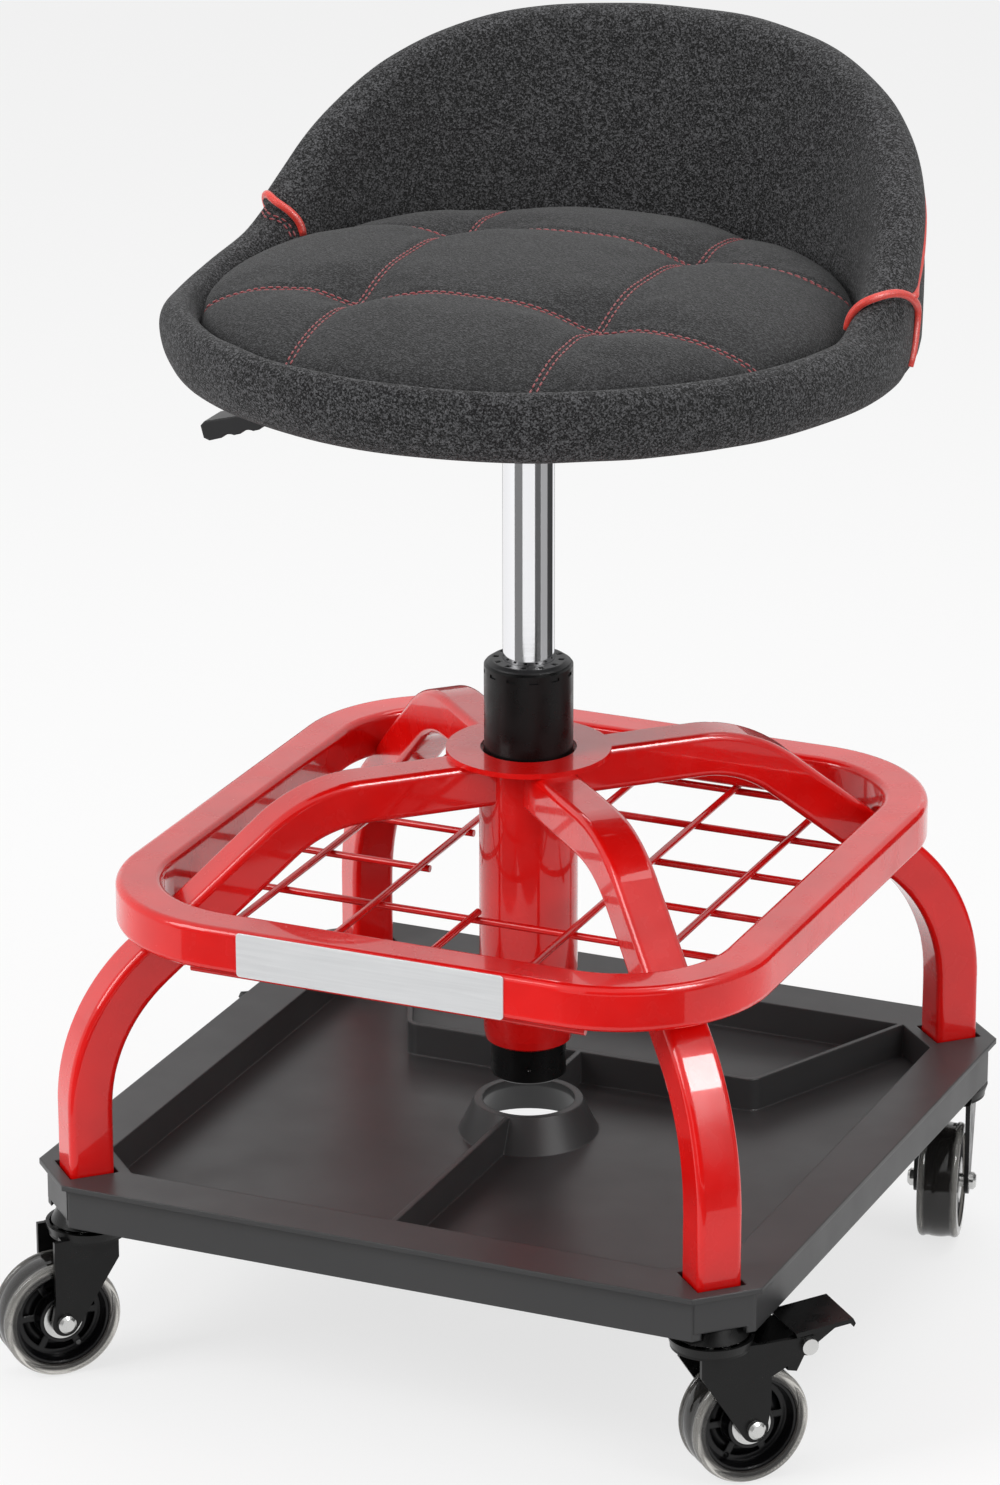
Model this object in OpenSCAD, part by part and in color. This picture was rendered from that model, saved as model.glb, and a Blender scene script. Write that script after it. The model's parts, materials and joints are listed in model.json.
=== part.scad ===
// Rolling workshop stool: tool tray on four casters, a tube frame with a
// wire basket, a gas lift and a round padded seat with a low wrap-round back.
// Millimetres, Z up, origin on the floor under the lift.
// Front is -Y, the backrest is at +Y, the height lever points to -X.

/* [Tray] */
// Width of the square tool tray over its lip
tray_w = 420; // [400:1:460]
// Cut across each corner of the tray
tray_chamfer = 28; // [20:1:36]
// Height of the tray rim above the floor
tray_rim_z = 116; // [112:1:130]
// Depth of the tray from its rim to its floor
tray_depth = 19; // [17:1:24]
// Width of the flat rim round the tray
rim_w = 30; // [26:1:36]
// Wall of the moulded tray
tray_wall = 3; // [2:0.5:4]
// Depth of the skirt below the rim
skirt_h = 26; // [24:1:27]
// How far the skirt is set in under the lip
lip_inset = 4; // [2:0.5:6]
// Outer radius of the top of the cone in the middle of the tray
cone_top_r = 30; // [29:0.5:34]
// Outer radius of the foot of the cone
cone_base_r = 39; // [36:0.5:46]
// Radius of the round hole through the cone
cone_hole_r = 25.7; // [22:0.1:27]
// Distance from the middle to the front wall of the rear pocket
pocket_y = 71; // [60:1:90]
// Half width of the front wall of the rear pocket
pocket_half_w = 100; // [70:1:104]
// Angle between the pocket's side walls and the front-to-back direction
pocket_flare = 24; // [10:1:26]

/* [Frame] */
// Distance of each leg and caster from the middle, in X and in Y
leg_reach = 181.5; // [176:0.5:184]
// Side of the square frame tube
tube_w = 25; // [22:0.5:26]
// Corner radius of the square frame tube
tube_r = 4; // [2.5:0.5:5]
// Wall of the square frame tube
tube_wall = 1.8; // [1.2:0.1:2.4]
// Height of the underside of the collar plate, which is the top of the legs
collar_z = 320; // [310:1:330]
// Diameter of the collar plate
collar_d = 90; // [80:1:100]
// Thickness of the collar plate
collar_t = 3; // [2:0.5:5]
// Distance from the middle where the leg's level and sloping lines would meet
knee_reach = 125; // [118:1:136]
// Height where the leg's sloping and upright lines would meet
shoulder_z = 200; // [192:0.5:212]
// Centre-line radius of the upper bend of a leg
bend_r = 75; // [50:1:80]
// Centre-line radius of the lower bend of a leg
lower_bend_r = 100; // [80:1:110]
// Outer diameter of the centre tube
centre_d = 54; // [53:0.5:60]
// Wall of the centre tube
centre_wall = 2.2; // [1.5:0.1:2.4]
// Height of the lower end of the centre tube
centre_bottom_z = 152; // [146:1:160]

/* [Basket] */
// Outer width of the basket ring, left to right
ring_w = 371; // [362:1:380]
// Outer depth of the basket ring, front to back
ring_d = 393; // [384:1:400]
// Outer corner radius of the basket ring
ring_corner_r = 85; // [76:1:92]
// Height of the underside of the basket ring
ring_z = 248; // [244:1:254]
// Diameter of the basket wires
wire_d = 4; // [3:0.5:5]
// Spacing of the wires that run front to back
wire_pitch_x = 57; // [50:1:60]
// Spacing of the wires that run left to right
wire_pitch_y = 60; // [54:1:64]
// Sideways offset of the wires that run front to back
wire_shift_x = -5; // [-8:1:8]

/* [Casters] */
// Wheel diameter over the tyre
wheel_d = 66; // [60:1:70]
// Width of the tyre
tyre_w = 23; // [18:1:25]
// Thickness of the clear tyre round the core
tyre_t = 5; // [3:0.5:7]
// Distance from the swivel axis to the wheel axle
trail = 19; // [14:0.5:24]
// Thickness of the stamped fork
fork_t = 2.6; // [2:0.1:3.2]
// Gap between the tyre and each cheek of the fork
cheek_gap = 1.5; // [1:0.1:2.5]
// Diameter of the wheel axle
axle_d = 8; // [6:0.5:8.5]
// Turn of the front left caster at rest
angle_front_left = 226; // [0:1:359]
// Turn of the front right caster at rest
angle_front_right = 46; // [0:1:359]
// Turn of the rear right caster at rest
angle_rear_right = 284; // [0:1:359]
// Turn of the rear left caster at rest
angle_rear_left = 226; // [0:1:359]

/* [Gas lift] */
// Outer diameter of the black outer tube of the lift
lift_d = 48.5; // [47:0.1:48.8]
// Wall of the outer tube of the lift
lift_wall = 1.8; // [1.4:0.1:2.2]
// Height of the top of the outer tube of the lift
lift_top_z = 371.5; // [362:0.5:380]
// Height of the lower end of the outer tube of the lift
lift_bottom_z = 132; // [126:1:138]
// Diameter of the necked foot of the outer tube
lift_foot_d = 41.4; // [38:0.1:42]
// Diameter of the chrome cylinder
chrome_d = 28; // [26:0.5:30]
// Travel of the seat height
stroke = 115; // [100:1:120]
// Diameter of the piston rod
rod_d = 10; // [8:0.5:12]

/* [Seat] */
// Radius of the seam where the cushion meets the bolster
seam_r = 175; // [168:1:180]
// Height of that seam above the floor
seam_z = 574; // [566:1:584]
// Outer radius of the seat
seat_r = 203; // [200:1:208]
// How far the outer circle of the seat sits behind the lift
seat_back_shift = 15; // [8:1:17]
// Depth of the soft rim below the seam
rim_drop = 34.5; // [28:0.5:38]
// Rise of the backrest above the seam at its middle
back_rise = 114; // [90:1:130]
// Rise of the front bolster above the seam
bolster_rise = 4; // [2:0.5:10]
// How far the bolster dips on the left, just ahead of the backrest
bolster_dip = 8; // [0:0.5:9]
// Turn of the backrest at rest, clockwise from above
seat_turn = 4; // [0:1:20]
// Angle from the middle of the backrest to where its left flank has come down
flank_left = 80; // [78:1:90]
// Angle from the middle of the backrest to where its right flank has come down
flank_right = 87; // [84:1:96]
// Angle from the middle of the backrest to its left end seam
seam_left = 73.5; // [66:0.5:77]
// Angle from the middle of the backrest to its right end seam
seam_right = 79; // [70:1:80]
// Crown of the cushion above its seam
cushion_crown = 26; // [16:1:34]
// Depth of the sewn channels of the cushion
channel_depth = 11; // [4:1:13]
// Distance of each sewn channel from the middle
channel_pitch = 68; // [55:1:80]
// Width of the soft shoulder of a sewn channel
channel_width = 21; // [16:1:28]
// Diameter of the piping cord
piping_d = 5; // [3.5:0.5:6]
// Height of the underside of the seat pan
pan_z = 520; // [517:0.5:522]
// Thickness of the seat pan
pan_t = 4; // [3:0.5:6]

/* [Lever] */
// Distance from the middle to the tip of the height lever
lever_tip = 181.5; // [176:1:190]
// Length of the paddle on the height lever
paddle_len = 60; // [50:1:70]
// Width of the paddle
paddle_w = 20; // [16:1:26]
// Diameter of the lever rod
lever_d = 8; // [6:0.5:9]

/* [Hidden] */
$fn = 96;
fit = 0.05;
tray_floor_z = tray_rim_z - tray_depth;
tray_pad_z = tray_floor_z - tray_wall;
skirt_z = tray_rim_z - skirt_h;
rim_inner = tray_w - 2 * rim_w;
inner_chamfer = tray_chamfer - 3;
leg_rho = leg_reach * sqrt(2);
leg_z = collar_z - tube_w / 2;
leg_slope = atan2(leg_z - shoulder_z, leg_rho - knee_reach);
upper_setback = bend_r * tan(leg_slope / 2);
lower_setback = lower_bend_r * tan((90 - leg_slope) / 2);
slope_len = norm([leg_rho - knee_reach, leg_z - shoulder_z]) - upper_setback - lower_setback;
nut_plate_t = 4;
leg_foot_z = tray_floor_z + nut_plate_t;
ring_h = tube_w;
ring_mid_r = ring_corner_r - tube_w / 2;
wire_y_z = ring_z - wire_d / 2;
wire_x_z = wire_y_z - wire_d + 0.4;
wire_tuck = 12;
wheel_r = wheel_d / 2;
cheek_in = tyre_w / 2 + cheek_gap;
cheek_out = cheek_in + fork_t;
stem_d = 10;
race_r = 20;
race_h = 8;
race_bottom_z = tray_pad_z - race_h;
ball_d = 5.8;
ball_groove = 0.5;
groove_half = 1.7;
ball_ring_r = 14;
fork_top_z = race_bottom_z - ball_d + 2 * ball_groove;
stem_head_h = 5;
hub_r = wheel_r - tyre_t;
bearing_d = 22;
bearing_t = 7;
axle_head_d = 10;
brake_pin_s = trail + 30;
brake_pin_z = fork_top_z - 5.6;
brake_pin_d = 7;
caster_spots = [
    [-leg_reach, -leg_reach, angle_front_left],
    [leg_reach, -leg_reach, angle_front_right],
    [leg_reach, leg_reach, angle_rear_right],
    [-leg_reach, leg_reach, angle_rear_left]
];
lift_ri = lift_d / 2 - lift_wall;
taper_top_z = centre_bottom_z + 38;
taper_bottom_z = centre_bottom_z + 6;
taper_drop = 1.9;
foot_plate_t = 3;
washer_t = 3;
bearing_stack = 6;
clip_t = 2;
clip_z = lift_bottom_z - clip_t - 0.1;
bush_len = 84;
bush_flange = 4;
cylinder_bottom_z = lift_top_z - 85;
gland_h = 14;
piston_h = 12;
rod_top_z = cylinder_bottom_z + gland_h + piston_h + 4;
rod_shoulder_z = lift_bottom_z + foot_plate_t + washer_t + bearing_stack + 0.02;
rod_shoulder_h = 4;
cylinder_top_z = pan_z + 2;
cylinder_taper_z = pan_z - 26;
button_h = 5;
plate_z = pan_z - 2.5;
plate_w = 150;
hat_w = 62;
hat_d = 84;
hat_h = 18;
lever_z = pan_z - 9.5;
lever_y = -15;
lever_end_x = -16;
pivot_x = -46;
lever_bend_x = -88;
lever_dip = 15;
lever_bend_r = 20;
arm_len = (lever_tip + lever_bend_x) / cos(lever_dip) - lever_bend_r * tan(lever_dip / 2) * 2;
tongue_t = 2;
tongue_gap = 0.5;

// Shared shapes

// Square with round corners, from exact squares and circles
module rounded_square(w, r) {
    square([w - 2 * r, w], center = true);
    square([w, w - 2 * r], center = true);
    for (sx = [-1, 1], sy = [-1, 1])
        translate([sx * (w / 2 - r), sy * (w / 2 - r)]) circle(r);
}

// Outline of the square frame tube, or of its bore
module frame_section(bore = false) {
    if (bore) rounded_square(tube_w - 2 * tube_wall, tube_r - tube_wall / 2);
    else rounded_square(tube_w, tube_r);
}

// Straight tube of a flat outline along +X
module run(len) {
    rotate([90, 0, 90]) linear_extrude(len) children();
}

// Square with cut corners
module chamfered(w, c) {
    h = w / 2;
    polygon([[h, h - c], [h - c, h], [c - h, h], [-h, h - c],
        [-h, c - h], [c - h, -h], [h - c, -h], [h, c - h]]);
}

// Ring about Z
module collar(r_out, r_in, h) {
    difference() {
        cylinder(h = h, r = r_out);
        translate([0, 0, -1]) cylinder(h = h + 2, r = r_in);
    }
}

// Closed loft through sections that all have the same number of points
module loft(sections, closed = false) {
    n = len(sections[0]);
    m = len(sections);
    points = [for (s = sections) for (p = s) p];
    last = closed ? m - 1 : m - 2;
    sides = [for (j = [0:last]) for (i = [0:n - 1])
        let (a = j * n + i, b = j * n + (i + 1) % n,
            k = (j + 1) % m, c = k * n + i, d = k * n + (i + 1) % n)
        each [[a, b, d], [a, d, c]]];
    caps = closed ? [] : [[for (i = [n - 1:-1:0]) i], [for (i = [0:n - 1]) (m - 1) * n + i]];
    polyhedron(points, concat(sides, caps), convexity = 8);
}

// Frame

// Straight run that reaches into the bends at its ends, a hair thinner so that they fuse cleanly
module joining_run(len, start, end) {
    translate([-start, 0, 0]) run(start + len + end) scale(0.996) children();
}

// Bend of a swept outline, from the heading +X down through an angle
module bend(angle, r) {
    translate([0, 0, -r]) rotate([90, 0, 0])
        rotate_extrude(angle = angle, start = 90 - angle) translate([r, 0]) children();
}

// Moves on to the end of a bend
module past_bend(angle, r) {
    translate([0, 0, -r]) rotate([0, angle, 0]) translate([0, 0, r]) children();
}

// Path of one leg in its own radial plane, swept with a flat outline
module leg_path() {
    level_len = knee_reach - upper_setback;
    foot_len = shoulder_z - lower_setback - leg_foot_z;
    translate([0, 0, leg_z]) {
        run(level_len) children();
        translate([level_len, 0, 0]) {
            bend(leg_slope, bend_r) children();
            past_bend(leg_slope, bend_r) {
                joining_run(slope_len, 0.5, 0.5) children();
                translate([slope_len, 0, 0]) {
                    bend(90 - leg_slope, lower_bend_r) children();
                    past_bend(90 - leg_slope, lower_bend_r) joining_run(foot_len, 0.5, 0) children();
                }
            }
        }
    }
}

// One leg, coped to the centre tube and notched under the ring
module leg(angle) {
    color("red") difference() {
        rotate([0, 0, angle]) leg_path() frame_section();
        rotate([0, 0, angle]) leg_path() frame_section(bore = true);
        translate([0, 0, leg_foot_z]) cylinder(h = collar_z, r = centre_d / 2);
        ring_path() frame_section();
    }
}

// Rounded rectangle path of the basket ring, swept with a flat outline
module ring_path() {
    hx = ring_w / 2 - ring_corner_r;
    hy = ring_d / 2 - ring_corner_r;
    z = ring_z + ring_h / 2;
    for (s = [0, 1]) rotate([0, 0, 180 * s]) {
        translate([-hx, tube_w / 2 - ring_d / 2, z]) run(2 * hx) children();
        translate([ring_w / 2 - tube_w / 2, -hy, z]) rotate([0, 0, 90]) run(2 * hy) children();
        translate([hx, -hy, z]) rotate_extrude(angle = 90, start = 270)
            translate([ring_mid_r, 0]) children();
        translate([hx, hy, z]) rotate_extrude(angle = 90, start = 0)
            translate([ring_mid_r, 0]) children();
    }
}

module basket_ring() {
    color("red") difference() {
        ring_path() frame_section();
        ring_path() frame_section(bore = true);
    }
}

module wire_along_y(x, y0, y1) {
    translate([x, y0, wire_y_z]) rotate([-90, 0, 0]) cylinder(h = y1 - y0, d = wire_d, $fn = 24);
}

module wire_along_x(y, x0, x1) {
    translate([x0, y, wire_x_z]) rotate([0, 90, 0]) cylinder(h = x1 - x0, d = wire_d, $fn = 24);
}

// Welded wire floor of the basket, open round the centre tube
module basket_wires() {
    reach_x = ring_w / 2 - wire_tuck;
    reach_y = ring_d / 2 - wire_tuck;
    left = wire_shift_x - wire_pitch_x;
    right = wire_shift_x + wire_pitch_x;
    tail = 3;
    color("red") union() {
        for (i = [-2, -1, 1, 2]) wire_along_y(wire_shift_x + i * wire_pitch_x, -reach_y, reach_y);
        wire_along_y(wire_shift_x, -reach_y, -wire_pitch_y + tail);
        wire_along_y(wire_shift_x, 2 * wire_pitch_y - tail, reach_y);
        for (s = [-1, 1]) {
            wire_along_x(s * (ring_d / 2 - tube_w / 2 - 3), -wire_pitch_x * 2 - 2, wire_pitch_x * 2 - 4);
            wire_along_x(s * 2 * wire_pitch_y, tube_w - reach_x, reach_x - tube_w / 2);
        }
        wire_along_x(-wire_pitch_y, -reach_x, reach_x);
        for (y = [0, wire_pitch_y]) {
            wire_along_x(y, -reach_x, left + tail);
            wire_along_x(y, right - tail, reach_x);
        }
    }
}

// Centre tube, closed in at its foot to hold the taper of the lift
module centre_tube() {
    ro = centre_d / 2;
    ri = ro - centre_wall;
    rs = lift_d / 2 - taper_drop;
    top = collar_z - fit / 10;
    color("red") rotate_extrude() polygon([
        [ri, top], [ro, top], [ro, taper_top_z + 4], [rs + centre_wall, taper_bottom_z],
        [rs + centre_wall - 0.8, centre_bottom_z + 1.6], [rs + centre_wall - 3, centre_bottom_z],
        [lift_foot_d / 2 + 0.3, centre_bottom_z], [lift_foot_d / 2 + 0.3, centre_bottom_z + 3],
        [rs, taper_bottom_z], [lift_d / 2, taper_top_z], [ri, taper_top_z + 2]
    ]);
}

module collar_plate() {
    color("red") translate([0, 0, collar_z]) difference() {
        cylinder(h = collar_t, d = collar_d);
        translate([0, 0, -1]) cylinder(h = collar_t + 2, r = lift_d / 2 + 2);
    }
}

// Tool tray

module pocket_wall() {
    r = 9;
    turn = 90 - pocket_flare;
    h = tray_rim_z - tray_floor_z;
    len = (rim_inner / 2 - pocket_y - r * (1 - cos(turn)) + 1) / sin(turn);
    translate([-pocket_half_w, pocket_y, tray_floor_z])
        cube([2 * pocket_half_w, tray_wall, h]);
    for (s = [0, 1]) mirror([s, 0, 0]) translate([pocket_half_w, pocket_y + r, tray_floor_z]) {
        rotate_extrude(angle = turn, start = 270) translate([r - tray_wall, 0]) square([tray_wall, h]);
        rotate([0, 0, turn - 90]) translate([r - tray_wall + fit, -0.5, 0])
            cube([tray_wall - 2 * fit, len + 0.5, h]);
    }
}

// Moulded tray: hollow rim with lip, sunk floor, cone, divider, rear pocket, leg pockets
module tool_tray() {
    sleeve = tube_w + 2 * tray_wall + 3;
    hole = tube_w + 2.4;
    color([0.23, 0.23, 0.24]) difference() {
        union() {
            translate([0, 0, tray_rim_z - tray_wall]) linear_extrude(tray_wall) difference() {
                chamfered(tray_w, tray_chamfer);
                chamfered(rim_inner, inner_chamfer);
            }
            translate([0, 0, skirt_z]) linear_extrude(skirt_h - tray_wall) difference() {
                chamfered(tray_w - 2 * lip_inset, tray_chamfer - lip_inset * 0.6);
                chamfered(tray_w - 2 * lip_inset - 2 * tray_wall, tray_chamfer - lip_inset * 0.6 - tray_wall * 0.6);
            }
            translate([0, 0, tray_pad_z]) linear_extrude(tray_rim_z - tray_pad_z - tray_wall) difference() {
                chamfered(rim_inner + 2 * tray_wall, inner_chamfer + tray_wall * 0.6);
                chamfered(rim_inner, inner_chamfer);
            }
            translate([0, 0, tray_pad_z]) linear_extrude(tray_wall) chamfered(rim_inner + 2, inner_chamfer);
            for (a = [45:90:315]) rotate([0, 0, a]) translate([leg_rho, 0, tray_pad_z])
                translate([-sleeve / 2, -sleeve / 2, 0]) cube([sleeve, sleeve, tray_rim_z - tray_pad_z - 0.5]);
            translate([0, 0, tray_pad_z]) cylinder(h = tray_wall, r = cone_base_r);
            translate([0, 0, tray_floor_z]) cylinder(h = tray_depth, r1 = cone_base_r, r2 = cone_top_r);
            translate([-tray_wall / 2, -rim_inner / 2 - 1, tray_floor_z])
                cube([tray_wall, rim_inner / 2 - cone_top_r, tray_depth]);
            translate([-tray_wall / 2, cone_top_r, tray_floor_z])
                cube([tray_wall, pocket_y - cone_top_r + 1, tray_depth]);
            pocket_wall();
            for (s = [-1, 1], t = [-90, 90]) {
                translate([s * 60 - 1.5, min(0, t * 2), skirt_z]) cube([3, 180, tray_pad_z - skirt_z]);
                translate([min(0, t * 2), s * 60 - 1.5, skirt_z]) cube([180, 3, tray_pad_z - skirt_z]);
            }
        }
        for (a = [45:90:315]) rotate([0, 0, a]) translate([leg_rho, 0, 0]) {
            translate([-hole / 2, -hole / 2, tray_floor_z]) cube([hole, hole, skirt_h]);
            translate([0, 0, tray_pad_z - 1]) cylinder(h = tray_wall + 2, d = stem_d + 0.4);
            translate([0, 0, skirt_z - 1]) cylinder(h = tray_pad_z - skirt_z + 1, r = race_r + 0.8);
        }
        translate([0, 0, tray_pad_z - 1]) cylinder(h = tray_depth + tray_wall + 2, r = cone_hole_r);
        translate([0, 0, tray_pad_z - 1])
            cylinder(h = tray_depth, r1 = cone_base_r - tray_wall, r2 = cone_hole_r);
    }
}

module leg_nut_plates() {
    color("silver") for (p = caster_spots) translate([p[0], p[1], tray_floor_z]) rotate([0, 0, 45])
        difference() {
            translate([-tube_w / 2, -tube_w / 2, 0]) cube([tube_w, tube_w, nut_plate_t]);
            translate([0, 0, -1]) cylinder(h = nut_plate_t + 2, d = stem_d + 2 * fit);
        }
}

// Casters

// Places a caster piece at a swivel axis; its +X is the trailing direction
module at_caster(i) {
    p = caster_spots[i];
    translate([p[0], p[1], 0]) rotate([0, 0, p[2]]) children();
}

module caster_stems() {
    color("silver") for (p = caster_spots) translate([p[0], p[1], 0]) {
        translate([0, 0, fork_top_z - fork_t - stem_head_h]) cylinder(h = stem_head_h, d = 18);
        translate([0, 0, fork_top_z - fork_t - 0.5]) cylinder(h = tray_floor_z + 24 - fork_top_z, d = stem_d);
    }
}

module caster_races() {
    color([0.1, 0.1, 0.1]) for (p = caster_spots) translate([p[0], p[1], race_bottom_z]) difference() {
        cylinder(h = race_h, r1 = race_r, r2 = race_r - 4);
        translate([0, 0, -1]) cylinder(h = race_h + 2, d = stem_d + 0.2);
        translate([0, 0, -1]) collar(ball_ring_r + groove_half, ball_ring_r - groove_half, 1 + ball_groove);
    }
}

module caster_balls() {
    z = race_bottom_z + ball_groove - ball_d / 2;
    color("silver") for (p = caster_spots) translate([p[0], p[1], z])
        for (k = [0:9]) rotate([0, 0, 36 * k]) translate([ball_ring_r, 0, 0])
            sphere(d = ball_d - 0.04, $fn = 24);
}

// Side outline of one cheek; x is the distance behind the swivel axis
module cheek_outline(brake) {
    boss = 7.6;
    back = brake ? trail + 9 : trail + 5.5;
    difference() {
        union() {
            polygon([[-race_r * 0.6, fork_top_z - 0.2], [back, fork_top_z - 0.2], [back, wheel_r + 12],
                [trail + boss * 0.96, wheel_r + 2], [trail - boss * 0.94, wheel_r - 3],
                [-race_r * 0.6, fork_top_z - 14]]);
            translate([trail, wheel_r]) circle(boss);
            if (brake) {
                polygon([[back - 8, fork_top_z - 0.2], [brake_pin_s, brake_pin_z + 5.2],
                    [brake_pin_s - 2, brake_pin_z - 5], [back - 4, brake_pin_z - 16]]);
                translate([brake_pin_s, brake_pin_z]) circle(5.6);
            }
        }
        translate([trail, wheel_r]) circle(d = axle_d + 0.1);
        if (brake) translate([brake_pin_s, brake_pin_z]) circle(d = brake_pin_d + 0.1);
    }
}

// Stamped fork: round top plate with a ball groove, cross plate and two cheeks
module caster_fork(i, brake) {
    color([0.08, 0.08, 0.08]) at_caster(i) difference() {
        union() {
            translate([0, 0, fork_top_z - fork_t]) cylinder(h = fork_t, r = race_r + 1.5);
            difference() {
                translate([0, 0, fork_top_z - 1.2]) cylinder(h = 5, r1 = race_r + 1.5, r2 = race_r + 3);
                translate([0, 0, fork_top_z - 1.3]) cylinder(h = 6, r1 = race_r - 0.5, r2 = race_r + 1.2);
            }
            translate([-race_r * 0.6, -cheek_out, fork_top_z - fork_t])
                cube([race_r * 0.6 + trail + 1, 2 * cheek_out, fork_t]);
            for (s = [-1, 1]) translate([0, s * (cheek_in + cheek_out) / 2 + fork_t / 2, 0])
                rotate([90, 0, 0]) linear_extrude(fork_t) cheek_outline(brake);
        }
        translate([0, 0, fork_top_z - fork_t - 1]) cylinder(h = fork_t + 3, d = stem_d + 0.4);
        translate([0, 0, fork_top_z - ball_groove])
            collar(ball_ring_r + groove_half, ball_ring_r - groove_half, ball_groove + 1);
    }
}

// Axle bolt with a low round head at each end
module caster_axle(i) {
    h = cheek_out + 0.05;
    color("silver") at_caster(i) translate([trail, 0, wheel_r]) rotate([90, 0, 0]) {
        translate([0, 0, -cheek_out - 1]) cylinder(h = 2 * cheek_out + 2, d = axle_d);
        for (s = [0, 1]) rotate([180 * s, 0, 0]) translate([0, 0, h]) {
            cylinder(h = 2.4, d = axle_head_d);
            translate([0, 0, 2.4]) cylinder(h = 1.4, d1 = axle_head_d, d2 = axle_head_d - 3);
        }
    }
}

// Spoked wheel core, turned from one profile and cut by round windows
module wheel_hub(i) {
    h = tyre_w / 2 - 1;
    boss_r = bearing_d / 2 + 2;
    color([0.12, 0.12, 0.12]) at_caster(i) translate([trail, 0, wheel_r]) rotate([90, 0, 0]) difference() {
        rotate_extrude() polygon([
            [bearing_d / 2, -h], [boss_r, -h], [boss_r + 1, -3], [hub_r - 4.5, -3], [hub_r - 3, -h + 1],
            [hub_r - 1.2, -h + 1], [hub_r, -h + 3], [hub_r, h - 3], [hub_r - 1.2, h - 1],
            [hub_r - 3, h - 1], [hub_r - 4.5, 3], [boss_r + 1, 3], [boss_r, h], [bearing_d / 2, h],
            [bearing_d / 2, h - bearing_t], [axle_d / 2 + 1, h - bearing_t],
            [axle_d / 2 + 1, bearing_t - h], [bearing_d / 2, bearing_t - h]
        ]);
        translate([0, 0, -4]) linear_extrude(8) difference() {
            circle(hub_r - 7.5);
            circle(boss_r + 1.5);
            for (k = [0:2]) rotate(60 * k) square([2 * hub_r, 4], center = true);
        }
        for (k = [0, 1]) rotate([0, 0, 180 * k + 60]) translate([hub_r - 6.2, 0, -4])
            cylinder(h = 8, d = 3.2, $fn = 32);
    }
}

module wheel_tyre(i) {
    h = tyre_w / 2;
    color([0.35, 0.35, 0.33]) at_caster(i) translate([trail, 0, wheel_r]) rotate([90, 0, 0])
        rotate_extrude() difference() {
            union() {
                translate([hub_r - 1.2, -h + 2.6]) square([tyre_t + 1.2 - 0.6, tyre_w - 5.2]);
                translate([hub_r - 1.2, -h]) square([tyre_t + 1.2 - 2.6, tyre_w]);
                for (s = [-1, 1]) translate([wheel_r - 2.6, s * (h - 2.6)]) circle(2.6);
                translate([wheel_r - 24, 0]) intersection() {
                    circle(24);
                    translate([24 - tyre_t, -h + 2.6]) square([tyre_t, tyre_w - 5.2]);
                }
            }
            polygon([[hub_r - 2, -h + 1], [hub_r - 1.2, -h + 2], [hub_r, -h + 4], [hub_r, h - 4],
                [hub_r - 1.2, h - 2], [hub_r - 2, h - 1], [hub_r - 6, h - 1], [hub_r - 6, 1 - h]]);
        }
}

// Two ball bearings, each one closed ring with its shield line, and the spacer between
module wheel_bearings(i) {
    h = tyre_w / 2 - 1;
    color("silver") at_caster(i) translate([trail, 0, wheel_r]) rotate([90, 0, 0]) {
        for (z = [-h, h - bearing_t]) translate([0, 0, z])
            collar(bearing_d / 2 - fit / 5, axle_d / 2 + fit, bearing_t);
        translate([0, 0, bearing_t - h]) collar(axle_d / 2 + 0.9, axle_d / 2 + fit, 2 * (h - bearing_t));
    }
}

module brake_pin(i) {
    color("silver") at_caster(i) translate([brake_pin_s, 0, brake_pin_z]) rotate([90, 0, 0]) {
        translate([0, 0, -cheek_out - 1.5]) cylinder(h = 2 * cheek_out + 3, d = brake_pin_d);
        for (z = [-cheek_out - 2.55, cheek_out + 0.05]) translate([0, 0, z])
            cylinder(h = 2.5, d = brake_pin_d + 2);
    }
}

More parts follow.
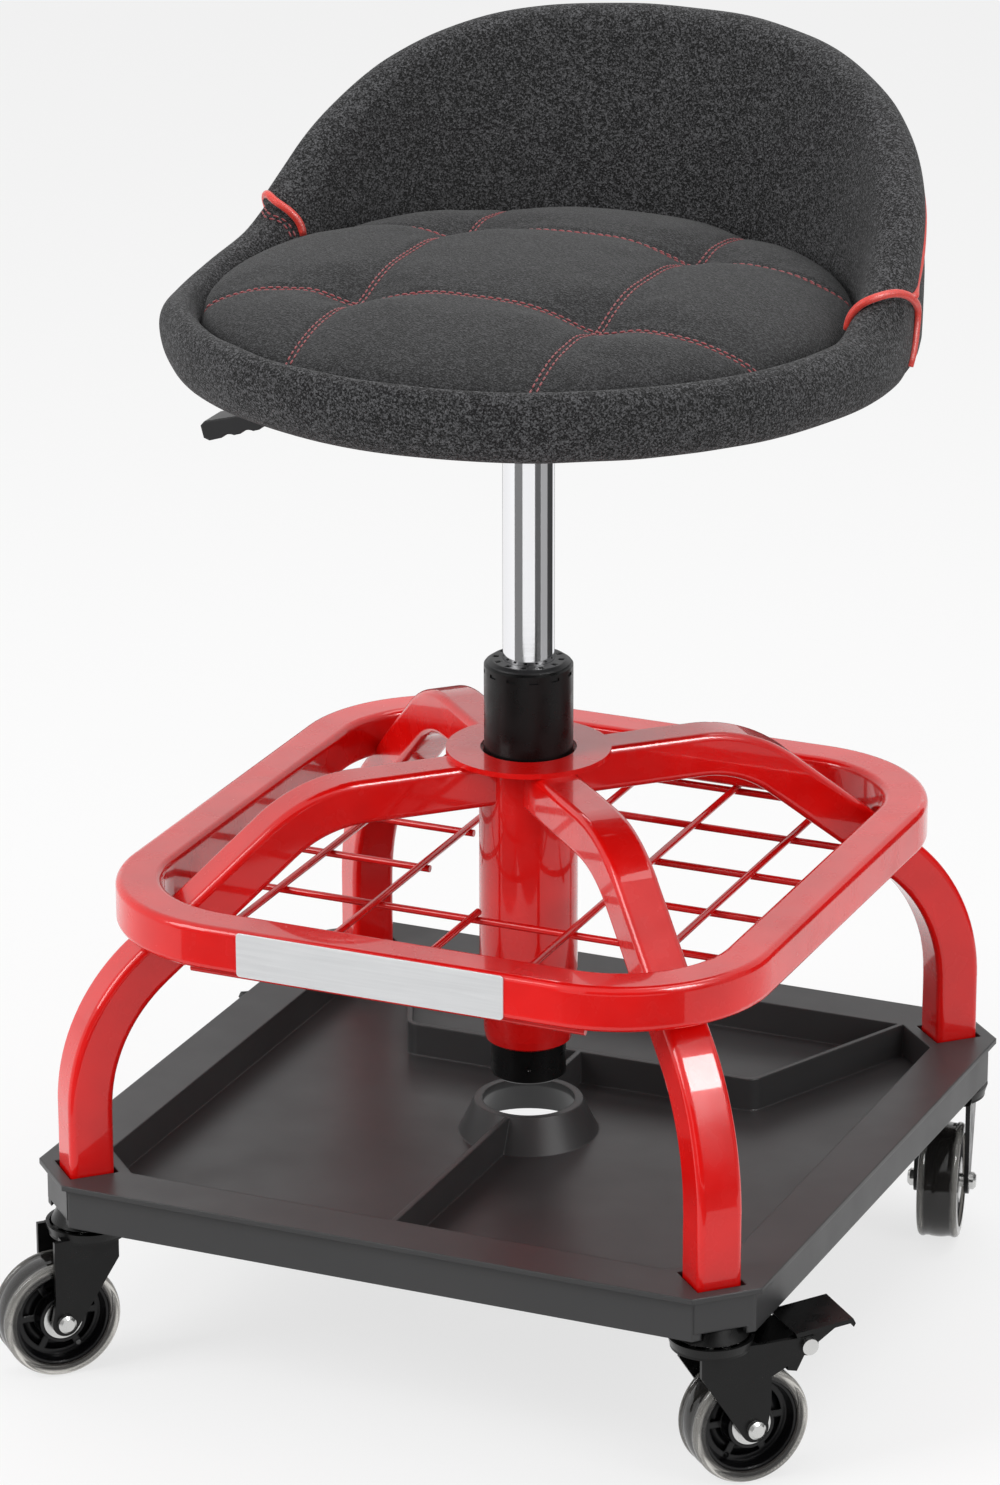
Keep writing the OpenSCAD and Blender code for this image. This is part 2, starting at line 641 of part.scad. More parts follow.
// Rocking brake pedal: tread, inner release tab, side ears and the cam below the pin
module brake_pedal(i) {
    t = 2.6;
    ear = cheek_in - 0.6;
    tread_w = cheek_out * 2 + 2;
    s0 = brake_pin_s - 8;
    s1 = brake_pin_s + 25;
    z0 = brake_pin_z + 8.4;
    rise = 3;
    color([0.07, 0.07, 0.07]) at_caster(i) difference() {
        union() {
            translate([0, tread_w / 2, 0]) rotate([90, 0, 0]) linear_extrude(tread_w) polygon([
                [s0, z0], [s1, z0 + rise], [s1 + 1.5, z0 + rise - 3], [s1 + 0.4, z0 + rise - 5],
                [s1 - 1.4, z0 + rise - t], [s0 + 1, z0 - t]]);
            translate([0, ear, 0]) rotate([90, 0, 0]) linear_extrude(2 * ear) polygon([
                [s0 + 2, z0], [s0 - 14, z0 - 12], [s0 - 13, z0 - 14.6], [s0 + 3, z0 - t]]);
            for (s = [-1, 1]) translate([0, s * (ear - 1.25) + 1.25, 0]) rotate([90, 0, 0])
                linear_extrude(2.5) polygon([[s0 + 1, z0 - 1], [s1 - 3, z0 + rise - 2],
                    [brake_pin_s + 6.5, brake_pin_z - 1], [brake_pin_s, brake_pin_z - 6.5],
                    [brake_pin_s - 6, brake_pin_z - 4], [s0 - 6, z0 - 8]]);
            translate([0, 7, 0]) rotate([90, 0, 0]) linear_extrude(14) {
                translate([brake_pin_s, brake_pin_z]) circle(6.5);
                polygon([[brake_pin_s - 6.4, brake_pin_z - 1], [brake_pin_s + 4, brake_pin_z - 5],
                    [brake_pin_s - 2.6, brake_pin_z - 18], [brake_pin_s - 8, brake_pin_z - 16.6]]);
            }
        }
        translate([brake_pin_s, 40, brake_pin_z]) rotate([90, 0, 0])
            cylinder(h = 80, d = brake_pin_d + 0.1);
    }
}

// Gas lift

// Black outer tube: taper and necked foot, with a ring of slots at the top
module lift_outer_tube() {
    ro = lift_d / 2;
    rt = ro - taper_drop;
    rf = lift_foot_d / 2;
    seat = taper_bottom_z;
    step = centre_bottom_z + 3;
    color([0.06, 0.06, 0.06]) difference() {
        rotate_extrude() polygon([
            [lift_ri, lift_top_z], [ro - 1, lift_top_z], [ro, lift_top_z - 1], [ro, taper_top_z],
            [rt, seat], [rf, step - 0.5], [rf, lift_bottom_z + 1], [rf - 1, lift_bottom_z],
            [rod_d / 2 + 2, lift_bottom_z], [rod_d / 2 + 2, lift_bottom_z + foot_plate_t],
            [rf - lift_wall, lift_bottom_z + foot_plate_t], [rf - lift_wall, step],
            [rt - lift_wall, seat + 2], [lift_ri, taper_top_z]
        ]);
        for (k = [0:11]) rotate([0, 0, 30 * k]) translate([ro - 0.8, -2.5, lift_top_z - 5])
            cube([2, 5, 2]);
        for (k = [0:2]) rotate([0, 0, 120 * k - 66]) translate([rf + 0.6, 0, lift_bottom_z + 9])
            sphere(1.6, $fn = 24);
    }
}

// Long plastic bush that guides the chrome cylinder
module lift_guide_bush() {
    r_bore = chrome_d / 2 + fit;
    color([0.1, 0.1, 0.1]) difference() {
        union() {
            translate([0, 0, lift_top_z - bush_len]) cylinder(h = bush_len + fit, r = lift_ri - fit);
            translate([0, 0, lift_top_z + fit]) cylinder(h = bush_flange * 0.5, r1 = lift_ri + 1, r2 = lift_ri - 2);
        }
        translate([0, 0, lift_top_z - bush_len - 1]) cylinder(h = bush_len + 10, r = r_bore);
        for (k = [0:11]) rotate([0, 0, 30 * k + 15]) translate([r_bore + 2.2, -1.3, lift_top_z - 5])
            cube([3, 2.6, 10]);
        for (k = [0:7]) rotate([0, 0, 45 * k]) translate([lift_ri - 3, -4, lift_top_z - bush_len - 1])
            cube([4, 8, bush_len - 14]);
    }
}

module lift_foot_washer() {
    color("silver") translate([0, 0, lift_bottom_z + foot_plate_t])
        collar(lift_foot_d / 2 - lift_wall - 0.2, rod_d / 2 + fit, washer_t);
}

// Thrust bearing that lets the rod turn: two thin races and a ring of balls
module thrust_bearing() {
    z = lift_bottom_z + foot_plate_t + washer_t;
    r = 9.5;
    color("silver") {
        translate([0, 0, z]) collar(12.5, rod_d / 2 + fit, 1.3);
        translate([0, 0, z + bearing_stack - 1.3]) collar(12.5, rod_d / 2 + fit, 1.3);
        for (k = [0:11]) rotate([0, 0, 30 * k]) translate([r, 0, z + bearing_stack / 2])
            sphere(d = bearing_stack - 2.6, $fn = 24);
    }
}

// Piston rod with a shoulder on the thrust bearing and a groove for the clip
module piston_rod() {
    color("silver") difference() {
        union() {
            translate([0, 0, lift_bottom_z - 4]) cylinder(h = rod_top_z - lift_bottom_z + 4, d = rod_d);
            translate([0, 0, rod_shoulder_z]) cylinder(h = rod_shoulder_h, d = rod_d + 12);
        }
        translate([0, 0, clip_z - 0.05]) collar(rod_d, rod_d / 2 - 1, clip_t + 0.1);
    }
}

module piston_head() {
    color("silver") translate([0, 0, rod_top_z - piston_h])
        collar(chrome_d / 2 - 2 - 0.1, rod_d / 2, piston_h);
}

// Rubber bumper on the rod's shoulder, which ends the travel of the cylinder
module rod_bumper() {
    z = rod_shoulder_z + rod_shoulder_h;
    color([0.1, 0.1, 0.1]) translate([0, 0, z])
        collar(rod_d / 2 + 5.5, rod_d / 2 + fit, cylinder_bottom_z - stroke - 0.3 - z);
}

// Open clip in the groove under the foot of the lift
module retaining_clip() {
    color("silver") translate([0, 0, clip_z]) difference() {
        collar(rod_d / 2 + 3.4, rod_d / 2 - 0.98, clip_t);
        translate([0, -2, -1]) cube([20, 4, 6]);
    }
}

// Chrome cylinder: closed by a gland below, tapered above for the seat mount
module lift_cylinder() {
    r = chrome_d / 2;
    color([0.85, 0.85, 0.87]) rotate_extrude() polygon([
        [rod_d / 2 + fit, cylinder_bottom_z], [r - 1.5, cylinder_bottom_z], [r, cylinder_bottom_z + 1.5],
        [r, cylinder_taper_z], [r - 1, cylinder_top_z], [4 + fit, cylinder_top_z],
        [4 + fit, cylinder_top_z - 14], [r - 2, cylinder_top_z - 14],
        [r - 2, cylinder_bottom_z + gland_h], [rod_d / 2 + fit, cylinder_bottom_z + gland_h]
    ]);
}

module valve_button() {
    color([0.15, 0.15, 0.15]) translate([0, 0, cylinder_top_z - 12]) {
        cylinder(h = 12 + button_h - 1, d = 8);
        translate([0, 0, 11 + button_h]) cylinder(h = 1, d1 = 8, d2 = 6);
    }
}

// Seat mount

// Radius of the tapered top of the lift cylinder at a height
function taper_r(z) = chrome_d / 2 - (z - cylinder_taper_z) / (cylinder_top_z - cylinder_taper_z);

// Pressed steel mount: flange, deep hat section and the socket for the cylinder
module mount_plate() {
    z_hat = plate_z + 2.5 - hat_h;
    z_low = z_hat - 6;
    side = hat_w / 2 + 24;
    color([0.1, 0.1, 0.1]) difference() {
        union() {
            translate([0, 0, plate_z]) linear_extrude(2.5) chamfered(plate_w, 20);
            translate([-side, -hat_d / 2, z_hat]) cube([hat_w + 24, hat_d, hat_h - 2]);
            translate([0, 0, z_low]) cylinder(h = plate_z - z_low + 1, r = chrome_d / 2 + 3);
        }
        difference() {
            translate([2.5 - side, 2.5 - hat_d / 2, z_hat + 2.5])
                cube([hat_w + 19, hat_d - 5, plate_z - z_hat - 2.5]);
            translate([0, 0, z_hat]) cylinder(h = hat_h, r = chrome_d / 2 + 3);
        }
        translate([0, 0, z_low - 1])
            cylinder(h = pan_z - z_low + 2, r1 = taper_r(z_low - 1) + fit, r2 = taper_r(pan_z + 1) + fit);
        translate([-side - 1, lever_y - 6, z_hat + 2.5]) cube([5, 12, plate_z - z_hat - 2.5]);
        translate([lever_end_x - 9, lever_y - 6, plate_z - 1]) cube([12, 12, 5]);
        translate([lever_end_x - 9, lever_y - 6, z_hat - 1]) cube([10, 12, 5]);
        for (x = [-60, 60], y = [-60, 60]) translate([x, y, plate_z - 1]) cylinder(h = 5, d = 6.6);
        translate([pivot_x, -hat_d, lever_z]) rotate([-90, 0, 0]) cylinder(h = 2 * hat_d, d = 4.1);
    }
}

module mount_bolts() {
    color("silver") for (x = [-60, 60], y = [-60, 60]) translate([x, y, 0]) {
        translate([0, 0, plate_z - 4.05]) cylinder(h = 4, d = 11, $fn = 6);
        translate([0, 0, plate_z - 0.1]) cylinder(h = 2.3 + pan_t, d = 6.4);
    }
}

// Radius of the seat's outer edge in a direction, seen from the lift; a = 0 is +Y
function outer_r(a) = max(seam_r + roll_min,
    seat_back_shift * cos(a) + sqrt(pow(seat_r, 2) - pow(seat_back_shift * sin(a), 2)));
// Point at a direction a, radius r and height z
function polar(a, r, z) = [r * sin(a), r * cos(a), z];
// Direction as an angle from -180 to 180
function wrapped(a) = a > 180 ? a - 360 : a;
// Share of the full back height in a direction
function back_share(a) =
    let (w = wrapped(a), u = abs(w) / (w < 0 ? flank_left : flank_right))
    u >= 1 ? 0 : pow(1 - pow(u, w < 0 ? 3.2 : 2.3), 1.2);
// Dip of the bolster in a direction, next to the left end of the backrest
function dip(a) =
    let (u = (-wrapped(a) - flank_left) / dip_span)
    u <= 0 || u >= 1 ? 0 : bolster_dip * sin(180 * u);
// Height of the top edge of the rim in a direction
function rim_top(a) = seam_z + bolster_rise - dip(a) + (back_rise - bolster_rise) * back_share(a);

rim_bottom_z = seam_z - rim_drop;
shell_t = 3.2;
panel_t = 4;
foam_gap = 0.2;
edge_drop = 16;
groove_h = 3.8;
groove_d = 3.6;
seam_half = 0.8;
roll_min = 12;
dip_span = 42;
pan_flat_r = seam_r - 61;
pan_edge_r = seam_r - 3;
pan_edge_z = rim_bottom_z + 1;
recess_r = 34;

// Moulded pan under the cushion: flat middle, sloping side and level edge
module seat_pan() {
    color([0.12, 0.12, 0.12]) difference() {
        rotate_extrude() polygon([
            [recess_r - 4, pan_z], [pan_flat_r, pan_z], [pan_edge_r - 12, pan_edge_z], [pan_edge_r, pan_edge_z],
            [pan_edge_r, pan_edge_z + pan_t], [pan_edge_r - 13, pan_edge_z + pan_t],
            [pan_flat_r - 1, pan_z + pan_t], [recess_r - 4, pan_z + pan_t]
        ]);
        for (x = [-60, 60], y = [-60, 60]) translate([x, y, pan_z - 1]) cylinder(h = pan_t + 2, d = 6.6);
    }
}

// Height of the top of the cushion at a direction and radius
function channel(d) = exp(-pow(d / channel_width * 1.6, 2));
function cushion_top(x, y) =
    let (q = min(1, norm([x, y]) / seam_r),
        edge = pow(1 - pow(q, 4), 0.5),
        cut = channel_depth * (1 - (1 - channel(abs(x) - channel_pitch)) * (1 - channel(abs(y) - channel_pitch))))
    seam_z - 6 + (cushion_crown * (1 - 0.35 * q * q) + 6) * edge - cut * edge;

// Ring of points round the lift
function ring(r, z, n) = [for (i = [0:n - 1]) polar(360 * i / n, r, z)];

// Round cushion: crowned, drawn in at the edge, with four sewn channels
module seat_cushion() {
    rings = 13;
    n = 44;
    r = seam_r - 0.8;
    foot = pan_z + pan_t + foam_gap;
    edge = pan_edge_z + pan_t + foam_gap;
    under = [ring(recess_r, foot + 10, n), ring(recess_r + 0.5, foot, n), ring(pan_flat_r - 2, foot, n),
        ring(pan_edge_r - 14, edge, n), ring(r - 3, edge, n), ring(r, seam_z - 18, n)];
    tops = [for (j = [0:rings - 1]) let (q = sin(90 * (rings - j) / rings))
        [for (p = ring(r * q, 0, n)) [p[0], p[1], cushion_top(p[0], p[1])]]];
    color([0.16, 0.16, 0.17]) loft(concat(under, tops, [ring(1, cushion_top(0, 0), n)]));
}

// Half widths and heights of the rounded top: outer side, then inner side.
// The top is even in front, leans inwards at the ends of the backrest and is even again behind.
function crest_size(a) =
    let (s = back_share(a), w = outer_r(a) - seam_r, round = min(w / 2, 13.5), tall = min(15, round + 3),
        k = min(1, s / 0.15), m = min(1, max(0, (s - 0.3) / 0.5)), lean = k * (1 - m))
    [round * (1 - k) + 8 * lean + 12 * k * m,
        round * (1 - k) + (w - 9) * lean + 12 * k * m,
        tall * (1 - k) + 12 * k,
        tall * (1 - k) + min(34, rim_top(a) - seam_z) * lean + 12 * k * m];

// Rounded top of a soft rim section, from its inner side over the crest
function crest(ro, top, c) = [for (t = [170:-20:10]) t > 90
    ? [ro - c[0] + c[1] * cos(t), top - c[3] + c[3] * sin(t)]
    : [ro - c[0] + c[0] * cos(t), top - c[2] + c[2] * sin(t)]];

// Section of the front bolster: a closed roll between the seam and the outer edge
function bolster_section(a) =
    let (ri = seam_r, ro = outer_r(a), top = rim_top(a), low = rim_bottom_z, c = crest_size(a),
        inner = top - c[3] - 1, outer = top - c[2] - 1)
    [for (p = concat([[ri, min(seam_z - 17, inner - 2)], [ri, min(seam_z - 3, inner)]], crest(ro, top, c), [
        [ro, outer], [ro, min(seam_z - 15, outer - 2)], [ro - 1.2, low + 11], [ro - 4.5, low + 3.5],
        [ro - 10, low], [min(ri + 2, ro - 11), low], [ri - 1, low + 6]
    ])) polar(a, p[0], p[1])];

module seat_bolster() {
    n = 44;
    start = seam_right + seam_half;
    end = 360 - seam_left - seam_half;
    color([0.14, 0.14, 0.15]) rotate([0, 0, -seat_turn])
        loft([for (i = [0:n]) bolster_section(start + (end - start) * i / n)]);
}

// Angle at a share of the way round the backrest, kept short of both end seams by a margin
function back_angle(u, margin) = (margin - seam_left) * (1 - u) + (seam_right - margin) * u;

// Section of the backrest's stiffener: an upright wall with a level foot under the edge of the pan
function shell_section(a) =
    let (ro = outer_r(a) - panel_t - foam_gap, top = rim_top(a) - edge_drop - 1,
        foot_r = pan_edge_r - 10, low = rim_bottom_z - 1.8, high = rim_bottom_z + 0.8)
    [for (p = [[foot_r, low], [foot_r, high], [ro - shell_t, high], [ro - shell_t, top], [ro, top], [ro, low]])
        polar(a, p[0], p[1])];

module back_shell() {
    n = 36;
    color([0.12, 0.12, 0.12]) rotate([0, 0, -seat_turn])
        loft([for (i = [0:n]) shell_section(back_angle(i / n, 4))]);
}

// Section of the backrest pad, which hooks over the stiffener at the top
function pad_section(a) =
    let (ri = seam_r, ro = outer_r(a), top = rim_top(a), c = crest_size(a), hook = top - edge_drop,
        back = ro - panel_t - shell_t - 2 * foam_gap, foot = rim_bottom_z + 1.2,
        dr = ro - c[0] - c[1] - ri, dz = top - c[3] - seam_z + 3)
    [for (p = concat([[ri, seam_z - 17], [ri, seam_z - 3]],
        [for (u = [0.25, 0.5, 0.75]) [ri + dr * u - 3 * sin(180 * u) * dz / back_rise, seam_z - 3 + dz * u]],
        crest(ro, top, c), [
        [ro, hook + groove_h], [ro - groove_d, hook], [back, hook],
        [back, foot], [ri + 2, foot], [ri - 1, foot + 6]
    ])) polar(a, p[0], p[1])];

module back_pad() {
    n = 40;
    color([0.14, 0.14, 0.15]) rotate([0, 0, -seat_turn])
        loft([for (i = [0:n]) pad_section(back_angle(i / n, seam_half))]);
}

// Thin covered panel on the outside of the backrest
function panel_section(a) =
    let (ro = outer_r(a), top = rim_top(a) - edge_drop - foam_gap, low = rim_bottom_z)
    [for (p = [[ro - panel_t, low - 1], [ro - panel_t, top], [ro - groove_d, top], [ro, top - groove_h],
        [ro, low + 4], [ro - 1.5, low]]) polar(a, p[0], p[1])];

module back_panel() {
    n = 40;
    color([0.14, 0.14, 0.15]) rotate([0, 0, -seat_turn])
        loft([for (i = [0:n]) panel_section(back_angle(i / n, seam_half))]);
}

// Round cord through a list of points
module cord(points, d) {
    n = 8;
    m = len(points);
    loft([for (j = [0:m - 1])
        let (t = points[min(m - 1, j + 1)] - points[max(0, j - 1)], u = t / norm(t),
            side = cross(u, abs(u[2]) > 0.9 ? [0, 1, 0] : [0, 0, 1]), v = side / norm(side), w = cross(v, u))
        [for (i = [0:n - 1]) points[j] + d / 2 * (cos(360 * i / n) * v + sin(360 * i / n) * w)]]);
}

// Path of the cord over the end seam of the backrest at an angle
function over_path(a) =
    let (top = rim_top(a), ro = outer_r(a))
    [for (p = concat([[seam_r - 0.4, seam_z + 1]], crest(ro + 0.2, top + 0.2, crest_size(a)), [
        [ro + 0.2, top - 18], [ro + 0.2, rim_bottom_z + 22], [ro - 0.5, rim_bottom_z + 16]
    ])) polar(a, p[0], p[1])];

// Piping: one cord in the groove round the back, and one in the seam at each end of it
module seat_piping() {
    edge = [for (i = [0:32]) let (a = back_angle(i / 32, 0))
        polar(a, outer_r(a) + 0.2, rim_top(a) - edge_drop - foam_gap / 2)];
    color("red") rotate([0, 0, -seat_turn]) {
        cord(edge, piping_d);
        cord(over_path(-seam_left), piping_d);
        cord(over_path(seam_right), piping_d);
    }
}

// Height lever

module lever_pin() {
    color("silver") translate([pivot_x, -hat_d / 2 - 1.5, lever_z]) rotate([-90, 0, 0]) {
        cylinder(h = hat_d + 3, d = 4);
        translate([0, 0, -1.5]) cylinder(h = 1.5, d = 7);
    }
}

// Moves to the lower end of the lever's bend, with +X along its dipping arm
module on_lever_arm() {
    r = lever_bend_r;
    translate([lever_bend_x, lever_y, lever_z - r]) rotate([0, 0, 180]) rotate([0, lever_dip, 0])
        translate([0, 0, r]) children();
}

// Cranked rod from the paddle to the tongue over the valve button
module height_lever() {
    thin = lever_d * 0.998;
    color("silver") difference() {
        union() {
            translate([lever_bend_x - 0.3, lever_y, lever_z]) rotate([0, 90, 0])
                cylinder(h = lever_end_x - lever_bend_x + 0.3, d = thin, $fn = 48);
            translate([lever_bend_x, lever_y, lever_z - lever_bend_r]) rotate([0, 0, 180]) rotate([90, 0, 0])
                rotate_extrude(angle = lever_dip, start = 90 - lever_dip)
                    translate([lever_bend_r, 0]) circle(d = lever_d, $fn = 48);
            on_lever_arm() translate([-0.3, 0, 0]) rotate([0, 90, 0])
                cylinder(h = arm_len - paddle_len + 20, d = thin, $fn = 48);
        }
        translate([pivot_x, -hat_d, lever_z]) rotate([-90, 0, 0]) cylinder(h = 2 * hat_d, d = 4.1);
    }
    color("silver") lever_tongue();
}

// Flat tongue that reaches from the rod over the button
module lever_tongue() {
    z = cylinder_top_z + button_h + tongue_gap;
    translate([lever_end_x - 6, lever_y - 3, lever_z]) cube([6, 6, z + tongue_t - lever_z]);
    translate([lever_end_x - 6, lever_y - 3, z]) cube([10 - lever_end_x, 6 - lever_y, tongue_t]);
}

// Moulded paddle with finger scallops underneath
module lever_paddle() {
    t = 11;
    t_in = 8;
    color([0.08, 0.08, 0.08]) on_lever_arm() difference() {
        translate([0, paddle_w / 2, 0]) rotate([90, 0, 0]) linear_extrude(paddle_w) difference() {
            polygon([[arm_len, 2 - t / 2], [arm_len - 3, -t / 2], [arm_len - paddle_len, t / 2 - t_in],
                [arm_len - paddle_len, t / 2], [arm_len - 3, t / 2], [arm_len, t / 2 - 2]]);
            for (k = [0:2]) translate([arm_len - 15 - 12 * k, -t / 2 - 5.2 + k * 0.7]) circle(7);
        }
        translate([-1, 0, 0]) rotate([0, 90, 0])
            cylinder(h = arm_len - paddle_len + 22, d = lever_d + 2 * fit, $fn = 48);
    }
}

centre_tube();
collar_plate();
leg(225);  // leg_front_left
leg(315);  // leg_front_right
leg(45);  // leg_rear_right
leg(135);  // leg_rear_left
basket_ring();
basket_wires();
tool_tray();
leg_nut_plates();
caster_stems();
caster_races();
caster_balls();
lift_outer_tube();
lift_guide_bush();
lift_foot_washer();
thrust_bearing();
piston_rod();
piston_head();
rod_bumper();
retaining_clip();
lift_cylinder();
valve_button();
mount_plate();
mount_bolts();
seat_pan();
back_shell();
seat_cushion();
seat_bolster();
back_pad();
back_panel();
seat_piping();
lever_pin();
height_lever();
lever_paddle();
caster_fork(0, false);  // caster_fork_fl
caster_axle(0);  // caster_axle_fl
wheel_hub(0);  // wheel_hub_fl
wheel_tyre(0);  // wheel_tyre_fl
wheel_bearings(0);  // wheel_bearings_fl
caster_fork(1, true);  // caster_fork_fr
caster_axle(1);  // caster_axle_fr
wheel_hub(1);  // wheel_hub_fr
wheel_tyre(1);  // wheel_tyre_fr
wheel_bearings(1);  // wheel_bearings_fr
brake_pin(1);  // brake_pin_fr
brake_pedal(1);  // brake_pedal_fr
caster_fork(2, false);  // caster_fork_rr
caster_axle(2);  // caster_axle_rr
wheel_hub(2);  // wheel_hub_rr
wheel_tyre(2);  // wheel_tyre_rr
wheel_bearings(2);  // wheel_bearings_rr
caster_fork(3, true);  // caster_fork_rl
caster_axle(3);  // caster_axle_rl
wheel_hub(3);  // wheel_hub_rl
wheel_tyre(3);  // wheel_tyre_rl
wheel_bearings(3);  // wheel_bearings_rl
brake_pin(3);  // brake_pin_rl
brake_pedal(3);  // brake_pedal_rl
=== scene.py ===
"""Finishes, upholstery and studio for a rolling workshop stool, laid out as a Blender add-on."""

import json
import math
from itertools import product

import bmesh
import bpy
from bpy.props import FloatProperty, FloatVectorProperty, PointerProperty
from bpy.types import Operator, Panel, PropertyGroup
from mathutils import Matrix, Vector, noise
from mathutils.bvhtree import BVHTree


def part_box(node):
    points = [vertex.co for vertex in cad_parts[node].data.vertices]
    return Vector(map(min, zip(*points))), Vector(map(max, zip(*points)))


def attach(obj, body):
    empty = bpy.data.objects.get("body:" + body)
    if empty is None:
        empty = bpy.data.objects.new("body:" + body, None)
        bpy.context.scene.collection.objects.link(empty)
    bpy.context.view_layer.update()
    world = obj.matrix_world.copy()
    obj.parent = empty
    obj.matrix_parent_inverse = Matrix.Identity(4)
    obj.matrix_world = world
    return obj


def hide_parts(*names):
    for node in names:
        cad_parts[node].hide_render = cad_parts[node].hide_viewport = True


bl_info = {
    "name": "Rolling Stool",
    "version": (1, 0, 0),
    "blender": (4, 5, 0),
    "location": "3D View > Sidebar > Stool",
    "description": "Coatings, upholstery and studio of a rolling workshop stool",
    "category": "Object",
}

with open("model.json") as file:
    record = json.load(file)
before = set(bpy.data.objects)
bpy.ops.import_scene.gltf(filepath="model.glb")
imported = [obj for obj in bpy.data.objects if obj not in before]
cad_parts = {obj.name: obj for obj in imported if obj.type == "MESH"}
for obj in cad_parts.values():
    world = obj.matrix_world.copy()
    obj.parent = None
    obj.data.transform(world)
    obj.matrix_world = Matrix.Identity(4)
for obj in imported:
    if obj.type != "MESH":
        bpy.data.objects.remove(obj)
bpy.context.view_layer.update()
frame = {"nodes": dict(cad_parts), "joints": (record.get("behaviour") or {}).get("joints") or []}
NODES = frame["nodes"]
MM = 0.001
WHITE = (1, 1, 1, 1)
TYRE_WIDTH = 23 * MM
ROLL = 15 * MM  # radius of the rounded top of the roll round the cushion
ROLL_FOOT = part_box("seat_bolster")[0].z  # lower edge of the roll

CORNERS = ("fl", "fr", "rr", "rl")
LEGS = [name for name in NODES if name.startswith("leg_") and name != "leg_nut_plates"]


# Settings


def color_setting(name, description, default):
    """Setting for a colour, as linear light"""
    return FloatVectorProperty(name=name, description=description, subtype="COLOR", min=0, max=1, default=default)


def length_setting(name, description, default):
    """Setting for a length, its default in millimetres"""
    return FloatProperty(name=name, description=description, default=default * MM, unit="LENGTH")


def angle_setting(name, description, default):
    """Setting for an angle, its default in degrees"""
    return FloatProperty(name=name, description=description, default=math.radians(default), subtype="ANGLE")


class FinishSettings(PropertyGroup):
    """Colours of the coatings, mouldings and covers, as linear light"""

    frame_red: color_setting("Frame red", "Gloss coating of the tubes and wires", (0.74, 0.004, 0.003))
    tray_grey: color_setting("Tray grey", "Moulded tray", (0.040, 0.040, 0.041))
    coat_black: color_setting("Coating black", "Forks, pedals and lift tube", (0.0035, 0.0035, 0.0035))
    cushion_grey: color_setting("Cushion cloth", "Cover of the seat cushion", (0.0245, 0.0245, 0.0255))
    rim_grey: color_setting("Rim cloth", "Cover of the bolster and backrest", (0.0245, 0.0245, 0.0255))
    piping_red: color_setting("Piping red", "Cord along the backrest", (0.84, 0.040, 0.022))
    thread_red: color_setting("Thread red", "Sewing thread of the cushion", (0.24, 0.010, 0.016))
    tyre_smoke: color_setting("Tyre tint", "Tint of the clear tyres", (0.062, 0.058, 0.054))


class UpholsterySettings(PropertyGroup):
    """Sizes of the padded pieces and their sewing"""

    pitch: length_setting("Channel distance", "Distance of each sewn channel from the middle", 68)
    seam_radius: length_setting("Seam radius", "Radius where the cushion meets the bolster", 175)
    seam_height: length_setting("Seam height", "Height where the cushion meets the bolster", 574)
    left_seam: angle_setting("Left seam", "Direction of the left end of the backrest, seen from the lift", -69.5)
    right_seam: angle_setting("Right seam", "Direction of the right end of the backrest, seen from the lift", 83.0)
    seam_gap: angle_setting("Seam gap", "Turn by which the covers close the gap at an end seam", 0.84)
    left_lean: FloatVectorProperty(
        name="Left lean", description="Turns of the left seam at the cushion, the crest, outside and at the foot",
        size=4, unit="ROTATION", default=[math.radians(turn) for turn in (1.5, -1.2, 3.0, 3.0)])
    right_lean: FloatVectorProperty(
        name="Right lean", description="Turns of the right seam at the cushion, the crest, outside and at the foot",
        size=4, unit="ROTATION", default=[math.radians(turn) for turn in (3.5, 3.0, -8.5, -3.0)])
    left_sink: length_setting("Left sink", "Lowering of the crest at the left seam", 6)
    right_sink: length_setting("Right sink", "Lowering of the crest at the right seam", 2)
    lean_span: angle_setting("Lean span", "Turn over which the covers follow the lean of a seam", 28)
    knot: length_setting("Knot", "Extra depth where two sewn channels cross", 1.5)
    arch: length_setting("Arch", "Rise of a sewn channel between two crossings", 3)
    cord: length_setting("Piping", "Diameter of the piping", 4.4)
    swell: length_setting("Swell", "Most that a point of the cushion may move when it is filled", 7)
    groove: length_setting("Groove", "Depth to which the thread pulls a channel in", 1.5)
    groove_width: length_setting("Groove width", "Half width of the pulled-in line", 5)
    stitch_length: length_setting("Stitch length", "Length of one stitch", 3.1)
    stitch_pitch: length_setting("Stitch pitch", "Distance from one stitch to the next", 3.8)
    row_gap: length_setting("Row gap", "Distance between the two rows of stitches", 2.9)
    thread: length_setting("Thread", "Thickness of the thread", 1.2)
    ripple: length_setting("Ripple", "Height of the soft unevenness of the covers", 0.7)


class PlateSettings(PropertyGroup):
    """The bare plate on the front of the basket ring"""

    left: length_setting("Left edge", "Left edge of the plate", -82)
    right: length_setting("Right edge", "Right edge of the plate", 70.5)
    thickness: length_setting("Thickness", "Thickness of the sheet", 0.8)
    corner: length_setting("Corner", "Radius of the corners", 2)


